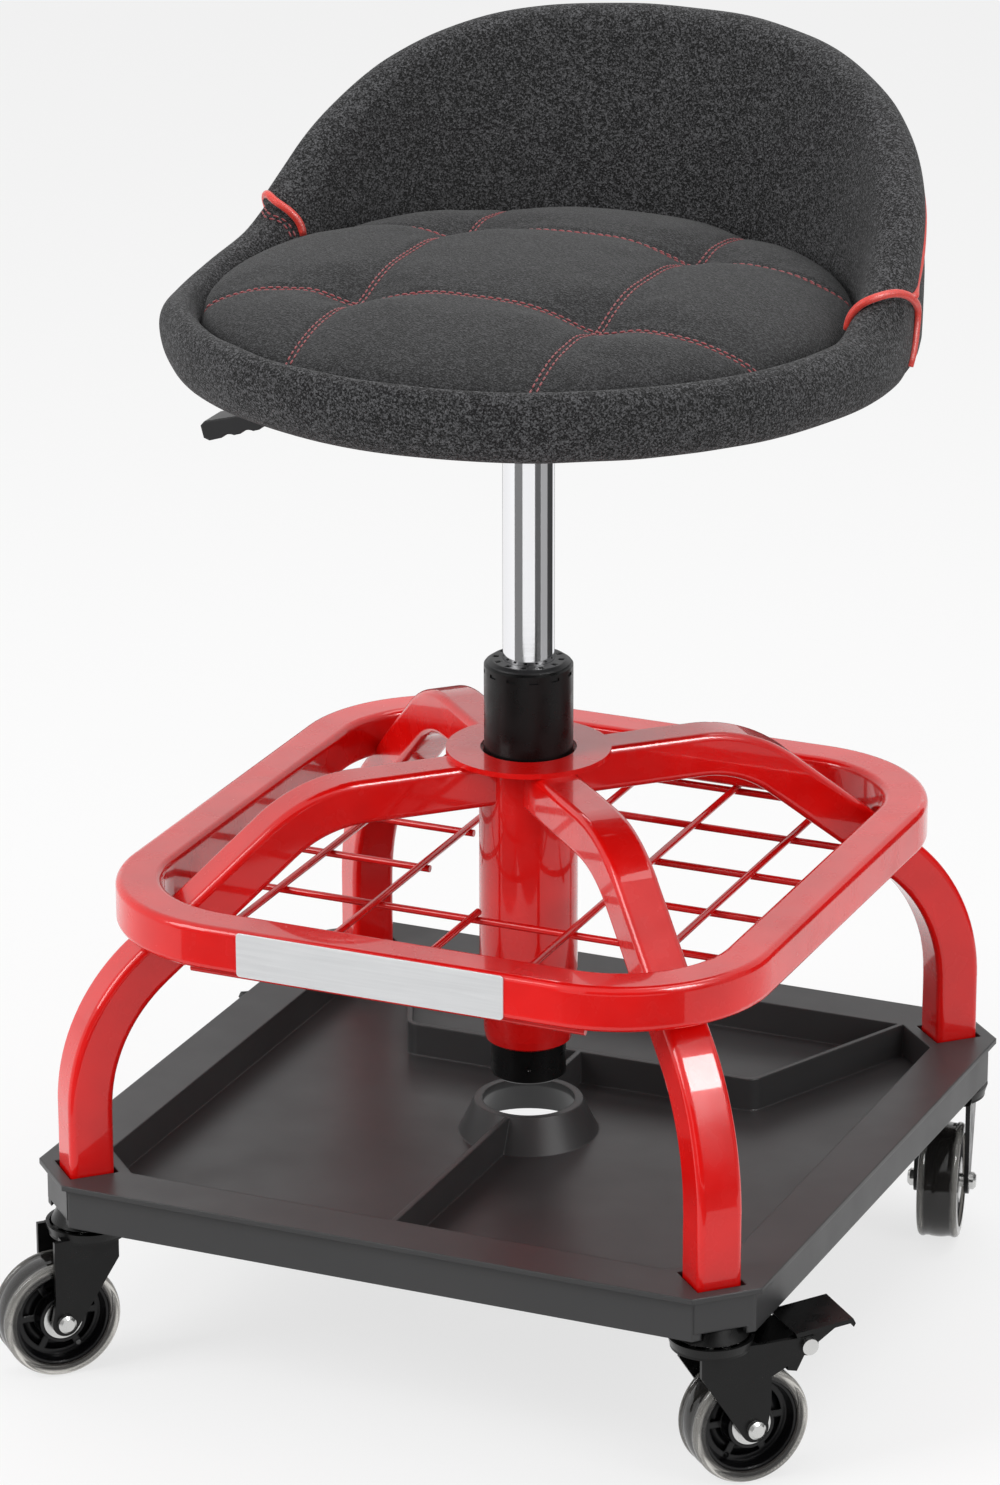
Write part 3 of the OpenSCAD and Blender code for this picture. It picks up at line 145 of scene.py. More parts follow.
class StudioSettings(PropertyGroup):
    """Camera and light"""

    camera: FloatVectorProperty(
        name="Camera", description="Place of the camera", subtype="TRANSLATION",
        default=(1.2748, -2.9575, 1.4954))
    azimuth: angle_setting("Azimuth", "Turn of the view round the stool", 23.32)
    elevation: angle_setting("Elevation", "Angle of the view above the horizon", 19.97)
    lens: FloatProperty(
        name="Lens", description="Focal length in millimetres on a 36 mm sensor", default=153.12)
    shift: FloatVectorProperty(
        name="Shift", description="Sideways and upward shift of the lens", size=2,
        default=(-0.019125, -0.00027))
    key: FloatProperty(name="Key light", description="Power of the light from the left", default=42, unit="POWER")
    fill: FloatProperty(name="Fill light", description="Power of the light from the right", default=14, unit="POWER")
    top: FloatProperty(name="Top light", description="Power of the light above", default=20, unit="POWER")
    sky: FloatProperty(name="Room", description="Brightness of the room as it lights the stool", default=0.50)


# Material graphs


def add_node(tree, kind, inputs=(), **values):
    """Node with its settings, and with values or links on its inputs"""
    made = tree.nodes.new(kind)
    for key, value in values.items():
        setattr(made, key, value)
    for key, value in dict(inputs).items():
        if isinstance(value, bpy.types.NodeSocket):
            tree.links.new(value, made.inputs[key])
        else:
            made.inputs[key].default_value = value
    return made


class Finish:
    """Node tree of one material around its Principled shader"""

    def __init__(self, name, color, roughness, metallic=0.0, **sockets):
        self.material = bpy.data.materials.new(name)
        self.material.use_nodes = True
        self.material.diffuse_color = (*color, 1)
        self.tree = self.material.node_tree
        self.shader = self.tree.nodes["Principled BSDF"]
        self.set("Base Color", (*color, 1))
        self.set("Roughness", roughness)
        self.set("Metallic", metallic)
        for socket, value in sockets.items():
            self.set(socket.replace("_", " "), value)
        self.place = self.node("ShaderNodeTexCoord").outputs["Object"]

    def set(self, socket, value):
        """Constant on one of the shader's own sockets"""
        self.shader.inputs[socket].default_value = value

    def link(self, source, socket):
        """Pattern on one of the shader's sockets"""
        self.tree.links.new(source, self.shader.inputs[socket])

    def node(self, kind, inputs=(), **values):
        return add_node(self.tree, kind, inputs, **values)

    def noise(self, scale, detail=2.0, stretch=(1, 1, 1)):
        """Noise pattern with its scale in features per metre"""
        place = self.node("ShaderNodeMapping", {"Vector": self.place, "Scale": stretch}).outputs["Vector"]
        return self.node("ShaderNodeTexNoise", {"Vector": place, "Scale": scale, "Detail": detail}).outputs["Fac"]

    def cells(self, scale):
        """Pebble pattern with its scale in cells per metre"""
        return self.node("ShaderNodeTexVoronoi", {"Vector": self.place, "Scale": scale}).outputs

    def band(self, value, low, high, to_low, to_high):
        """Range of a pattern mapped onto another range"""
        return self.node("ShaderNodeMapRange", {
            "Value": value, "From Min": low, "From Max": high, "To Min": to_low, "To Max": to_high}).outputs["Result"]

    def spread(self, pattern, low, high):
        """The middle range of a noise pattern, spread between two values"""
        return self.band(pattern, 0.3, 0.7, low, high)

    def mix(self, factor, dark, light):
        """Two colours blended by a pattern"""
        return self.node("ShaderNodeMix", {0: factor, 6: (*dark, 1), 7: (*light, 1)}, data_type="RGBA").outputs[2]

    def bump(self, height, strength, distance, below=None):
        """Relief of a pattern, on top of another relief if one is given"""
        inputs = {"Height": height, "Strength": strength, "Distance": distance}
        if below is not None:
            inputs["Normal"] = below
        return self.node("ShaderNodeBump", inputs).outputs["Normal"]


def shade(color, factor):
    """A colour made lighter or darker"""
    return tuple(min(1.0, c * factor) for c in color)


def gloss_coating(name, color, peel=0.10):
    """Gloss powder coating: slight orange peel and a clear top layer"""
    finish = Finish(name, color, 0.26, Coat_Weight=0.7, Coat_Roughness=0.04, Specular_IOR_Level=0.2)
    cloud = finish.spread(finish.noise(22, 2), 0, 1)
    finish.link(finish.mix(cloud, shade(color, 0.88), shade(color, 1.08)), "Base Color")
    finish.link(finish.spread(finish.noise(60, 3), 0.18, 0.32), "Roughness")
    finish.link(finish.bump(finish.noise(420, 1), peel, 0.3 * MM), "Normal")
    return finish.material


def black_coating(name, color):
    """Black coating on pressed steel: satin with a fine texture"""
    finish = Finish(name, color, 0.3, Specular_IOR_Level=0.25)
    finish.link(finish.band(finish.noise(90, 4), 0.35, 0.75, 0.24, 0.42), "Roughness")
    finish.link(finish.mix(finish.noise(40, 3), shade(color, 0.7), shade(color, 1.6)), "Base Color")
    finish.link(finish.bump(finish.noise(900, 2), 0.12, 0.2 * MM), "Normal")
    return finish.material


def moulding(name, color, roughness, grain, depth, gloss=0.35):
    """Moulded plastic with an even spark-eroded grain"""
    finish = Finish(name, color, roughness, Specular_IOR_Level=gloss)
    finish.link(finish.spread(finish.noise(35, 3), roughness - 0.03, roughness + 0.04), "Roughness")
    finish.link(finish.mix(finish.noise(14, 3), shade(color, 0.93), shade(color, 1.07)), "Base Color")
    edge = finish.node("ShaderNodeBevel", {"Radius": 1.5 * MM}, samples=4).outputs["Normal"]
    finish.link(finish.bump(finish.noise(grain, 2), depth, 0.15 * MM, edge), "Normal")
    return finish.material


def plated_steel(name, color, roughness, clouds):
    """Bright plated steel with faint cloudiness"""
    finish = Finish(name, color, roughness, 1.0)
    finish.link(finish.spread(finish.noise(120, 4), roughness - clouds, roughness + clouds), "Roughness")
    finish.link(finish.mix(finish.noise(50, 3), shade(color, 0.86), color), "Base Color")
    finish.link(finish.bump(finish.noise(700, 2), 0.05, 0.1 * MM), "Normal")
    return finish.material


def polished_chrome(name):
    """Polished chrome with the faint turning lines of a cylinder rod"""
    finish = Finish(name, (0.88, 0.88, 0.90), 0.07, 1.0)
    lines = finish.noise(30, 4, stretch=(1, 1, 90))
    finish.link(finish.spread(lines, 0.05, 0.12), "Roughness")
    finish.link(finish.bump(lines, 0.02, 0.05 * MM), "Normal")
    return finish.material


def clear_tyre(name, tint, centre, axis, radius, width):
    """Smoky clear tyre: dark where the core lies behind it, with its outer corners painted pale as painted light for
    the light that shines through the clear rim
    """
    finish = Finish(name, tint, 0.08, Transmission_Weight=0.8, IOR=1.46, Specular_IOR_Level=0.5)
    vector = "ShaderNodeVectorMath"
    from_axle = finish.node(vector, {0: finish.place, 1: centre}, operation="SUBTRACT").outputs[0]
    aside = finish.node(vector, {0: from_axle, 1: axis}, operation="DOT_PRODUCT").outputs["Value"]
    along = finish.node(vector, {0: axis, "Scale": aside}, operation="SCALE").outputs[0]
    outward = finish.node(vector, {0: from_axle, 1: along}, operation="SUBTRACT").outputs[0]
    reach = finish.node(vector, {0: outward}, operation="LENGTH").outputs["Value"]
    off = finish.node("ShaderNodeMath", {0: aside}, operation="ABSOLUTE").outputs[0]
    # Mask of the tyre's outer corners, where the painted light goes
    tread = finish.band(reach, radius - 4.2 * MM, radius - 2.6 * MM, 0, 1)
    flank = finish.band(off, width / 2 - 4 * MM, width / 2 - 2.2 * MM, 0, 1)
    corner = finish.node("ShaderNodeMath", {0: tread, 1: flank}, operation="MULTIPLY").outputs[0]
    # Painted light: the outer corners are painted a pale colour, a painted glow of the light shining through the
    # clear tyre
    finish.link(finish.mix(corner, tint, (0.80, 0.78, 0.73)), "Base Color")
    finish.link(finish.spread(finish.noise(80, 3), 0.05, 0.14), "Roughness")
    finish.link(finish.bump(finish.noise(300, 2), 0.04, 0.2 * MM), "Normal")
    return finish.material


def knitted_cloth(name, color, scale, depth, dark, light, sheen):
    """Closely knitted cover: small raised loops of lighter and darker yarn, and a soft sheen"""
    finish = Finish(name, color, 0.9, Sheen_Weight=sheen, Sheen_Roughness=0.5, Specular_IOR_Level=0.15)
    loops = finish.cells(scale)
    tone = finish.node("ShaderNodeSeparateColor", {"Color": loops["Color"]}).outputs[0]
    fuzz = finish.noise(scale * 1.2, 2)
    yarn = finish.band(tone, 0.35, 1.0, 0.0, 0.75)
    tuft = finish.band(fuzz, 0.42, 0.68, -0.25, 0.6)
    blend = finish.node("ShaderNodeMath", {0: yarn, 1: tuft}, operation="ADD", use_clamp=True).outputs[0]
    finish.link(finish.mix(blend, shade(color, dark), shade(color, light)), "Base Color")
    raised = finish.bump(loops["Distance"], depth, 0.9 * MM)
    finish.link(finish.bump(fuzz, depth * 0.7, 0.6 * MM, raised), "Normal")
    return finish.material


def covered_cord(name, color):
    """Tightly woven cover of the piping"""
    finish = Finish(name, color, 0.5, Sheen_Weight=0.3, Sheen_Roughness=0.4, Coat_Weight=0.1)
    weave = finish.cells(1400)["Distance"]
    finish.link(finish.mix(finish.band(weave, 0.1, 0.6, 0, 1), color, shade(color, 0.72)), "Base Color")
    finish.link(finish.bump(weave, 0.4, 0.3 * MM), "Normal")
    return finish.material


def sewing_thread(name, color):
    """Twisted polyester thread"""
    finish = Finish(name, color, 0.55, Sheen_Weight=0.4)
    twist = finish.noise(2600, 1)
    finish.link(finish.mix(finish.band(twist, 0.35, 0.65, 0, 1), shade(color, 0.6), shade(color, 1.3)), "Base Color")
    finish.link(finish.bump(twist, 0.4, 0.15 * MM), "Normal")
    return finish.material


def brushed_plate(name):
    """Pale satin metal of the bare plate"""
    finish = Finish(name, (0.80, 0.81, 0.82), 0.34, 0.35)
    brush = finish.noise(900, 3, stretch=(0.03, 1, 1))
    finish.link(finish.spread(brush, 0.28, 0.42), "Roughness")
    finish.link(finish.mix(brush, (0.74, 0.75, 0.76), (0.84, 0.85, 0.86)), "Base Color")
    finish.link(finish.bump(brush, 0.05, 0.1 * MM), "Normal")
    return finish.material


def dress(names, material):
    """Gives CAD nodes a material in place of their plain one"""
    for name in names:
        for place in NODES[name].material_slots:
            place.material = material


def rolling(corner):
    """Centre and axis of one wheel, from its joint"""
    joint = next(joint for joint in frame["joints"] if joint["name"] == "roll_" + corner)
    return joint["pos_m"], joint["axis"]


# Mesh tools


def clamped(value):
    """A share kept between none and all"""
    return max(0.0, min(1.0, value))


def eased(share):
    """A share with a gentle start and end"""
    return share * share * (3 - 2 * share)


def placed(name, data):
    """Object in the scene for a mesh, a light or a camera"""
    made = bpy.data.objects.new(name, data)
    bpy.context.scene.collection.objects.link(made)
    return made


def shaped(name, bm):
    """Object in the scene from a finished bmesh"""
    mesh = bpy.data.meshes.new(name)
    bm.to_mesh(mesh)
    bm.free()
    return placed(name, mesh)


def merged_solid(node):
    """Copy of a CAD solid whose loose triangles are joined"""
    bm = bmesh.new()
    bm.from_mesh(NODES[node].data)
    bmesh.ops.remove_doubles(bm, verts=bm.verts, dist=0.01 * MM)
    bmesh.ops.recalc_face_normals(bm, faces=bm.faces)
    return bm


def new_piece(name, bm, material, body):
    """Turns a bmesh into a finished piece that rides on a body"""
    piece = shaped(name, bm)
    piece.data.materials.append(material)
    piece.data.shade_smooth()
    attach(piece, body)
    return piece


def evaluated(piece):
    """Mesh of a piece with its modifiers applied"""
    depsgraph = bpy.context.evaluated_depsgraph_get()
    return bpy.data.meshes.new_from_object(piece.evaluated_get(depsgraph))


def settle(piece):
    """Applies a piece's modifiers to its mesh"""
    mesh = evaluated(piece)
    piece.modifiers.clear()
    piece.data = mesh


def even_copy(name, node, voxel):
    """Copy of a CAD solid, merged and remeshed into even quads"""
    piece = shaped(name, merged_solid(node))
    remesh = piece.modifiers.new("Even quads", "REMESH")
    remesh.mode = "VOXEL"
    remesh.voxel_size = voxel
    settle(piece)
    return piece


def off_seam(co, seam):
    """Turn round the lift from an end seam to a point"""
    return math.remainder(math.atan2(co.x, co.y) - seam, math.tau)


def lean_at(turns, tilt, drop):
    """Turn of an end seam at an angle round its section: from pi on the cushion's side over the crest to 0 outside.

    The drop is the share of the way from the rounded top down to the lower edge.
    """
    inner, crest, outer, foot = turns
    outer += (foot - outer) * drop
    share = 2 * (1 - max(0.0, min(math.pi, tilt)) / math.pi)
    return inner + (crest - inner) * share if share < 1 else crest + (outer - crest) * (share - 1)


def end_seams(sizes):
    """Direction, turns and sinking of the two end seams of the backrest"""
    return (
        (sizes.left_seam, sizes.left_lean, sizes.left_sink),
        (sizes.right_seam, sizes.right_lean, sizes.right_sink))


def seam_level(sizes, seam):
    """Height of the middle of the rounded top at an end seam, from the bolster's solid"""
    points = [v.co for v in NODES["seat_bolster"].data.vertices]
    top = max(co.z for co in points if abs(off_seam(co, seam)) < math.radians(3))
    return max(top - ROLL, sizes.seam_height - 8 * MM)


def lean_seam(verts, sizes, seam, turns, sink):
    """Leans and lowers the cover beside an end seam as the seam does, fading away from it, sooner in front"""
    level = seam_level(sizes, seam)
    for v in verts:
        away = abs(off_seam(v.co, seam)) / sizes.lean_span
        if away < 1:
            out, up = v.co.xy.length - sizes.seam_radius - ROLL, v.co.z - level
            tilt = math.atan2(up, out) if up > 0 else math.pi * (0.5 - out / (2 * ROLL))
            lean = lean_at(turns, tilt, clamped(-up / (level - ROLL_FOOT)))
            fading = 3 if abs(math.atan2(v.co.x, v.co.y)) > abs(seam) else 1.2
            v.co = Matrix.Rotation(-lean * (1 - eased(away)), 3, "Z") @ v.co
            v.co.z -= sink * max(0.0, 1 - away * fading) * clamped(up / ROLL)


def quad_copy(name, node, sizes):
    """Copy of a padded CAD solid in quads, its ends moved up to the middle of each end seam and leaning with it"""
    bm = merged_solid(node)
    crease = bm.edges.layers.float.new("crease_edge")
    for seam, turns, sink in end_seams(sizes):
        away = {v: off_seam(v.co, seam) for v in bm.verts}
        nearest = min(abs(turn) for turn in away.values())
        end = [v for v in bm.verts if abs(away[v]) < nearest + math.radians(0.05)]
        sign = 1 if away[end[0]] < 0 else -1
        for v in end:
            v.co = Matrix.Rotation(-sign * sizes.seam_gap, 3, "Z") @ v.co
        lean_seam(bm.verts, sizes, seam, turns, sink)
        lid = [f for f in bm.faces if all(v in end for v in f.verts)]
        bmesh.ops.dissolve_faces(bm, faces=lid)
    for face in bm.faces:
        if len(face.verts) > 4:
            for edge in face.edges:
                edge[crease] = 1.0
    bmesh.ops.join_triangles(
        bm, faces=[f for f in bm.faces if len(f.verts) == 3],
        angle_face_threshold=math.pi, angle_shape_threshold=math.pi)
    return shaped(name, bm)


def relax(piece, rounds):
    """Smooths the facets of a solid out of a soft piece"""
    bm = bmesh.new()
    bm.from_mesh(piece.data)
    for _ in range(rounds):
        bmesh.ops.smooth_vert(bm, verts=bm.verts, factor=0.5, use_axis_x=True, use_axis_y=True, use_axis_z=True)
    bm.to_mesh(piece.data)
    bm.free()


def ripple(piece, height, size):
    """Soft unevenness of a stuffed cover, along its normals"""
    normals = [v.normal.copy() for v in piece.data.vertices]
    for vertex, normal in zip(piece.data.vertices, normals):
        vertex.co += normal * (height * noise.noise(vertex.co / size))


def finish_soft(piece, material, levels):
    """Subdivides and dresses a padded piece"""
    cage = piece.modifiers.new("Smooth", "SUBSURF")
    cage.levels = cage.render_levels = levels
    settle(piece)
    piece.data.materials.clear()
    piece.data.materials.append(material)
    piece.data.shade_smooth()


def seat_piece(piece, node):
    """Hands a padded piece of the seat to the frame in place of its solid"""
    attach(piece, "seat")
    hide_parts(node)


def surface_of(*names):
    """One search tree over the surfaces of some pieces"""
    points, faces = [], []
    for name in names:
        mesh = bpy.data.objects[name].data
        faces += [[i + len(points) for i in face.vertices] for face in mesh.polygons]
        points += [v.co.copy() for v in mesh.vertices]
    return BVHTree.FromPolygons(points, faces)


def outwards(angle):
    """Level direction away from the lift"""
    return Vector((math.sin(angle), math.cos(angle), 0))


def smoothed(points, rounds):
    """Points of a path evened out between its ends"""
    for _ in range(rounds):
        points = points[:1] + [
            (a + 2 * b + c) / 4 for a, b, c in zip(points, points[1:], points[2:])] + points[-1:]
    return points


def tube(bm, points, radius):
    """Round cord of 12 sides along points, closed at both ends"""
    turns = [math.tau * k / 12 for k in range(12)]
    rings = []
    side = None
    for i, point in enumerate(points):
        along = (points[min(i + 1, len(points) - 1)] - points[max(i - 1, 0)]).normalized()
        side = (along.orthogonal() if side is None else side - along * side.dot(along)).normalized()
        other = along.cross(side)
        rings.append([bm.verts.new(point + radius * (math.cos(t) * side + math.sin(t) * other)) for t in turns])
    for low, high in zip(rings, rings[1:]):
        for a, b, c, d in zip(low, low[1:] + low[:1], high[1:] + high[:1], high):
            bm.faces.new((a, b, c, d))
    bm.faces.new(reversed(rings[0]))
    bm.faces.new(rings[-1])


def over_rim(tree, sizes, seam, turns, foot):
    """Points and normals over the rim along a leaning seam, from the cushion down to a height on the outside"""
    middle = seam_level(sizes, seam)
    inside = [sizes.seam_height + (1 + 3 * i) * MM for i in range(20)]
    outside = [middle - (3 + 4 * i) * MM for i in range(30)]
    rays = [(math.pi, level) for level in inside if level < middle]
    rays += [(math.radians(tilt), middle) for tilt in range(180, -1, -9)]
    rays += [(0.0, level) for level in outside if level > foot]
    starts, reaches, depths, normals = [], [], [], []
    for tilt, level in rays:
        ahead = outwards(seam + lean_at(turns, tilt, clamped((middle - level) / (middle - ROLL_FOOT))))
        reach = ahead * math.cos(tilt) + Vector((0, 0, math.sin(tilt)))
        start = ahead * (sizes.seam_radius + ROLL) + Vector((0, 0, level))
        hit, normal, _, _ = tree.ray_cast(start + reach * 0.08, -reach)
        if hit is not None:
            starts.append(start)
            reaches.append(reach)
            depths.append((hit - start).dot(reach))
            normals.append(normal if normal.dot(reach) > 0 else -normal)
    for _ in range(3):
        depths = [max(depth, even) for depth, even in zip(depths, smoothed(depths, 12))]
    return [start + reach * depth for start, reach, depth in zip(starts, reaches, depths)], normals


class Sewing:
    """Rows of stitches, each a slim capsule laid along the cloth"""

    def __init__(self, sizes):
        self.sizes = sizes
        self.bm = bmesh.new()
        capsule = bmesh.new()
        turn = Matrix.Rotation(math.pi / 2, 4, "Y")
        bmesh.ops.create_uvsphere(capsule, u_segments=6, v_segments=5, radius=1, matrix=turn)
        capsule.verts.index_update()
        self.capsule = [v.co.copy() for v in capsule.verts]
        self.sides = [[v.index for v in f.verts] for f in capsule.faces]
        capsule.free()

    def stitch(self, start, end, normal):
        """One capsule from a point to another, flat on the cloth"""
        along = end - start
        across = normal.cross(along).normalized()
        up = along.cross(across).normalized()
        half = self.sizes.thread / 2
        turn = Matrix((along / 2, across * half, up * half)).transposed()
        corners = [self.bm.verts.new((start + end) / 2 + turn @ point) for point in self.capsule]
        for side in self.sides:
            self.bm.faces.new([corners[i] for i in side])

    def row(self, points, normals):
        """Stitches along closely spaced points on the cloth"""
        start, gap = 0, self.sizes.stitch_pitch - self.sizes.stitch_length
        for i in range(1, len(points)):
            if (points[i] - points[start]).length >= self.sizes.stitch_length:
                lift = normals[start] * self.sizes.thread * 0.15
                self.stitch(points[start] + lift, points[i] + lift, normals[start])
                start = i
                while start < len(points) - 1 and (points[start] - points[i]).length < gap:
                    start += 1


# Operators


class STOOL_OT_coat_frame(Operator):
    """Coat the tubes, the collar and the basket wires in gloss red"""

    bl_idname = "stool.coat_frame"
    bl_label = "Coat Frame"

    def execute(self, context):
        red = context.scene.stool_finish.frame_red
        dress(["centre_tube", "collar_plate", "basket_ring"] + LEGS, gloss_coating("gloss_red_tube", red))
        # Painted shade: the wires get the same red coating darkened to 0.85 of the frame red
        dress(["basket_wires"], gloss_coating("gloss_red_wire", shade(red, 0.85), peel=0.2))
        return {"FINISHED"}


class STOOL_OT_finish_metal(Operator):
    """Coat, plate and polish the casters, the lift and the seat mount"""

    bl_idname = "stool.finish_metal"
    bl_label = "Finish Metal"

    def execute(self, context):
        coated = ["caster_races", "mount_plate"] + ["caster_fork_" + c for c in CORNERS]
        coated += ["brake_pedal_fr", "brake_pedal_rl", "lift_outer_tube"]
        dress(coated, black_coating("black_coating", context.scene.stool_finish.coat_black))
        plated = [
            "leg_nut_plates", "caster_stems", "caster_balls", "lift_foot_washer", "thrust_bearing", "piston_rod",
            "piston_head", "retaining_clip", "mount_bolts", "lever_pin", "brake_pin_fr", "brake_pin_rl"]
        plated += [kind + c for kind in ("caster_axle_", "wheel_bearings_") for c in CORNERS]
        dress(plated, plated_steel("zinc_plate", (0.66, 0.66, 0.65), roughness=0.26, clouds=0.08))
        dress(["lift_cylinder"], polished_chrome("chrome_cylinder"))
        dress(["height_lever"], plated_steel("lever_steel", (0.60, 0.60, 0.61), roughness=0.22, clouds=0.06))
        return {"FINISHED"}


class STOOL_OT_finish_mouldings(Operator):
    """Give the tray, the wheels and the small mouldings their plastic and rubber"""

    bl_idname = "stool.finish_mouldings"
    bl_label = "Finish Mouldings"

    def execute(self, context):
        colors = context.scene.stool_finish
        dress(["tool_tray"], moulding(
            "tray_moulding", colors.tray_grey, roughness=0.36, grain=1100, depth=0.12))
        dress(["lift_guide_bush", "valve_button", "seat_pan", "back_shell", "lever_paddle"], moulding(
            "black_moulding", (0.014, 0.014, 0.015), roughness=0.42, grain=1400, depth=0.2))
        dress(["rod_bumper"], moulding(
            "bumper_rubber", (0.02, 0.02, 0.02), roughness=0.7, grain=600, depth=0.3))
        dress(["wheel_hub_" + c for c in CORNERS], moulding(
            "wheel_core", (0.004, 0.004, 0.0045), roughness=0.2, grain=900, depth=0.05, gloss=0.3))
        for c in CORNERS:
            centre, axis = rolling(c)
            dress(["wheel_tyre_" + c], clear_tyre(
                "clear_tyre_" + c, colors.tyre_smoke, centre, axis, centre[2], TYRE_WIDTH))
        return {"FINISHED"}


class STOOL_OT_close_wheels(Operator):
    """Close the windows of each wheel core with a thin dark web"""

    bl_idname = "stool.close_wheels"
    bl_label = "Close Wheels"

    # Radius in mm and the web's face there, in mm from the middle of the wheel, with a ring of thicker wall
    PROFILE = ((13.5, -0.5), (16.0, -0.5), (16.6, -1.1), (17.4, -1.1), (18.0, -0.5), (21.5, -0.5))

    def execute(self, context):
        plastic = moulding("wheel_web", (0.003, 0.003, 0.0035), roughness=0.4, grain=900, depth=0.05, gloss=0.25)
        for c in CORNERS:
            centre, axis = rolling(c)
            bm = bmesh.new()
            section = [bm.verts.new((x * MM, 0, z * MM)) for x, z in self.PROFILE]
            section += [bm.verts.new((x * MM, 0, -z * MM)) for x, z in reversed(self.PROFILE)]
            edges = [bm.edges.new(pair) for pair in zip(section, section[1:] + section[:1])]
            bmesh.ops.spin(bm, geom=edges, cent=(0, 0, 0), axis=(0, 0, 1), angle=math.tau, steps=40, use_merge=True)
            bmesh.ops.recalc_face_normals(bm, faces=bm.faces)
            turn = Vector((0, 0, 1)).rotation_difference(Vector(axis)).to_matrix().to_4x4()
            bmesh.ops.transform(bm, matrix=Matrix.Translation(centre) @ turn, verts=bm.verts)
            new_piece("wheel_web_" + c, bm, plastic, "wheel_" + c)
        return {"FINISHED"}


class STOOL_OT_fill_cushion(Operator):
    """Fill the cushion as cloth under pressure, then pull its sewn channels in"""

    bl_idname = "stool.fill_cushion"
    bl_label = "Fill Cushion"

    VOXEL = 4.5 * MM
    FRAMES = 20
    PRESSURE = 4.0
    KNOT_REACH = 20 * MM
    HELD_HEIGHT = 24 * MM  # over the roll's foot, below which the cushion keeps its solid's shape

    def channel_distance(self, co, pitch):
        """Distance from a point to the nearest sewn line, seen from above"""
        return min(abs(abs(co.x) - pitch), abs(abs(co.y) - pitch))

    def quilting(self, co, sizes):
        """Height added by the knots and by the arches of the channels between them"""
        across = [math.exp(-((abs(abs(c) - sizes.pitch) / self.KNOT_REACH) ** 2)) for c in (co.x, co.y)]
        inside = max(0.0, 1 - (Vector(co[:2]).length / sizes.seam_radius) ** 6)
        both = across[0] * across[1]
        return inside * (sizes.arch * (across[0] + across[1] - 3 * both) - sizes.knot * both)

    def inflate(self, piece, sizes, held_z):
        """Runs the cloth with the underside, the rim and the sewn lines held"""
        start = [v.co.copy() for v in piece.data.vertices]
        held = piece.vertex_groups.new(name="held")
        for v in piece.data.vertices:
            sewn = self.channel_distance(v.co, sizes.pitch) < self.VOXEL * 0.8
            rim = Vector(v.co[:2]).length > sizes.seam_radius - 6 * MM
            if v.co.z < held_z or sewn or rim:
                held.add([v.index], 1.0, "REPLACE")
        cloth = piece.modifiers.new("Fill", "CLOTH")
        cloth.settings.vertex_group_mass = "held"
        cloth.settings.use_pressure = True
        cloth.settings.uniform_pressure_force = self.PRESSURE
        cloth.settings.tension_stiffness = cloth.settings.compression_stiffness = 12
        cloth.settings.bending_stiffness = 2
        cloth.settings.effector_weights.gravity = 0
        cloth.point_cache.frame_start, cloth.point_cache.frame_end = 1, self.FRAMES
        for step in range(1, self.FRAMES + 1):
            bpy.context.scene.frame_set(step)
        filled = evaluated(piece)
        piece.modifiers.clear()
        for v, before, after in zip(piece.data.vertices, start, filled.vertices):
            move = after.co - before
            if move.length > sizes.swell:
                move *= sizes.swell / move.length
            v.co = before + move
        piece.vertex_groups.clear()
        bpy.context.scene.frame_set(1)

    def execute(self, context):
        sizes = context.scene.stool_upholstery
        grey = context.scene.stool_finish.cushion_grey
        held_z = ROLL_FOOT + self.HELD_HEIGHT
        piece = even_copy("cushion", "seat_cushion", self.VOXEL)
        relax(piece, 8)
        for v in piece.data.vertices:
            if v.co.z > held_z:
                v.co.z += self.quilting(v.co, sizes)
        self.inflate(piece, sizes, held_z)
        relax(piece, 2)
        finish_soft(piece, knitted_cloth(
            "cushion_cloth", grey, scale=1000, depth=0.45, dark=0.35, light=2.5, sheen=0.12), levels=1)
        facing_up = [v.normal.z > 0.2 for v in piece.data.vertices]
        for v, upper in zip(piece.data.vertices, facing_up):
            if upper and v.co.z > held_z:
                beside = self.channel_distance(v.co, sizes.pitch) - sizes.row_gap * 0.6
                near = 1 - max(0.0, beside) / sizes.groove_width
                if near > 0:
                    v.co.z -= sizes.groove * near * near
        seat_piece(piece, "seat_cushion")
        return {"FINISHED"}


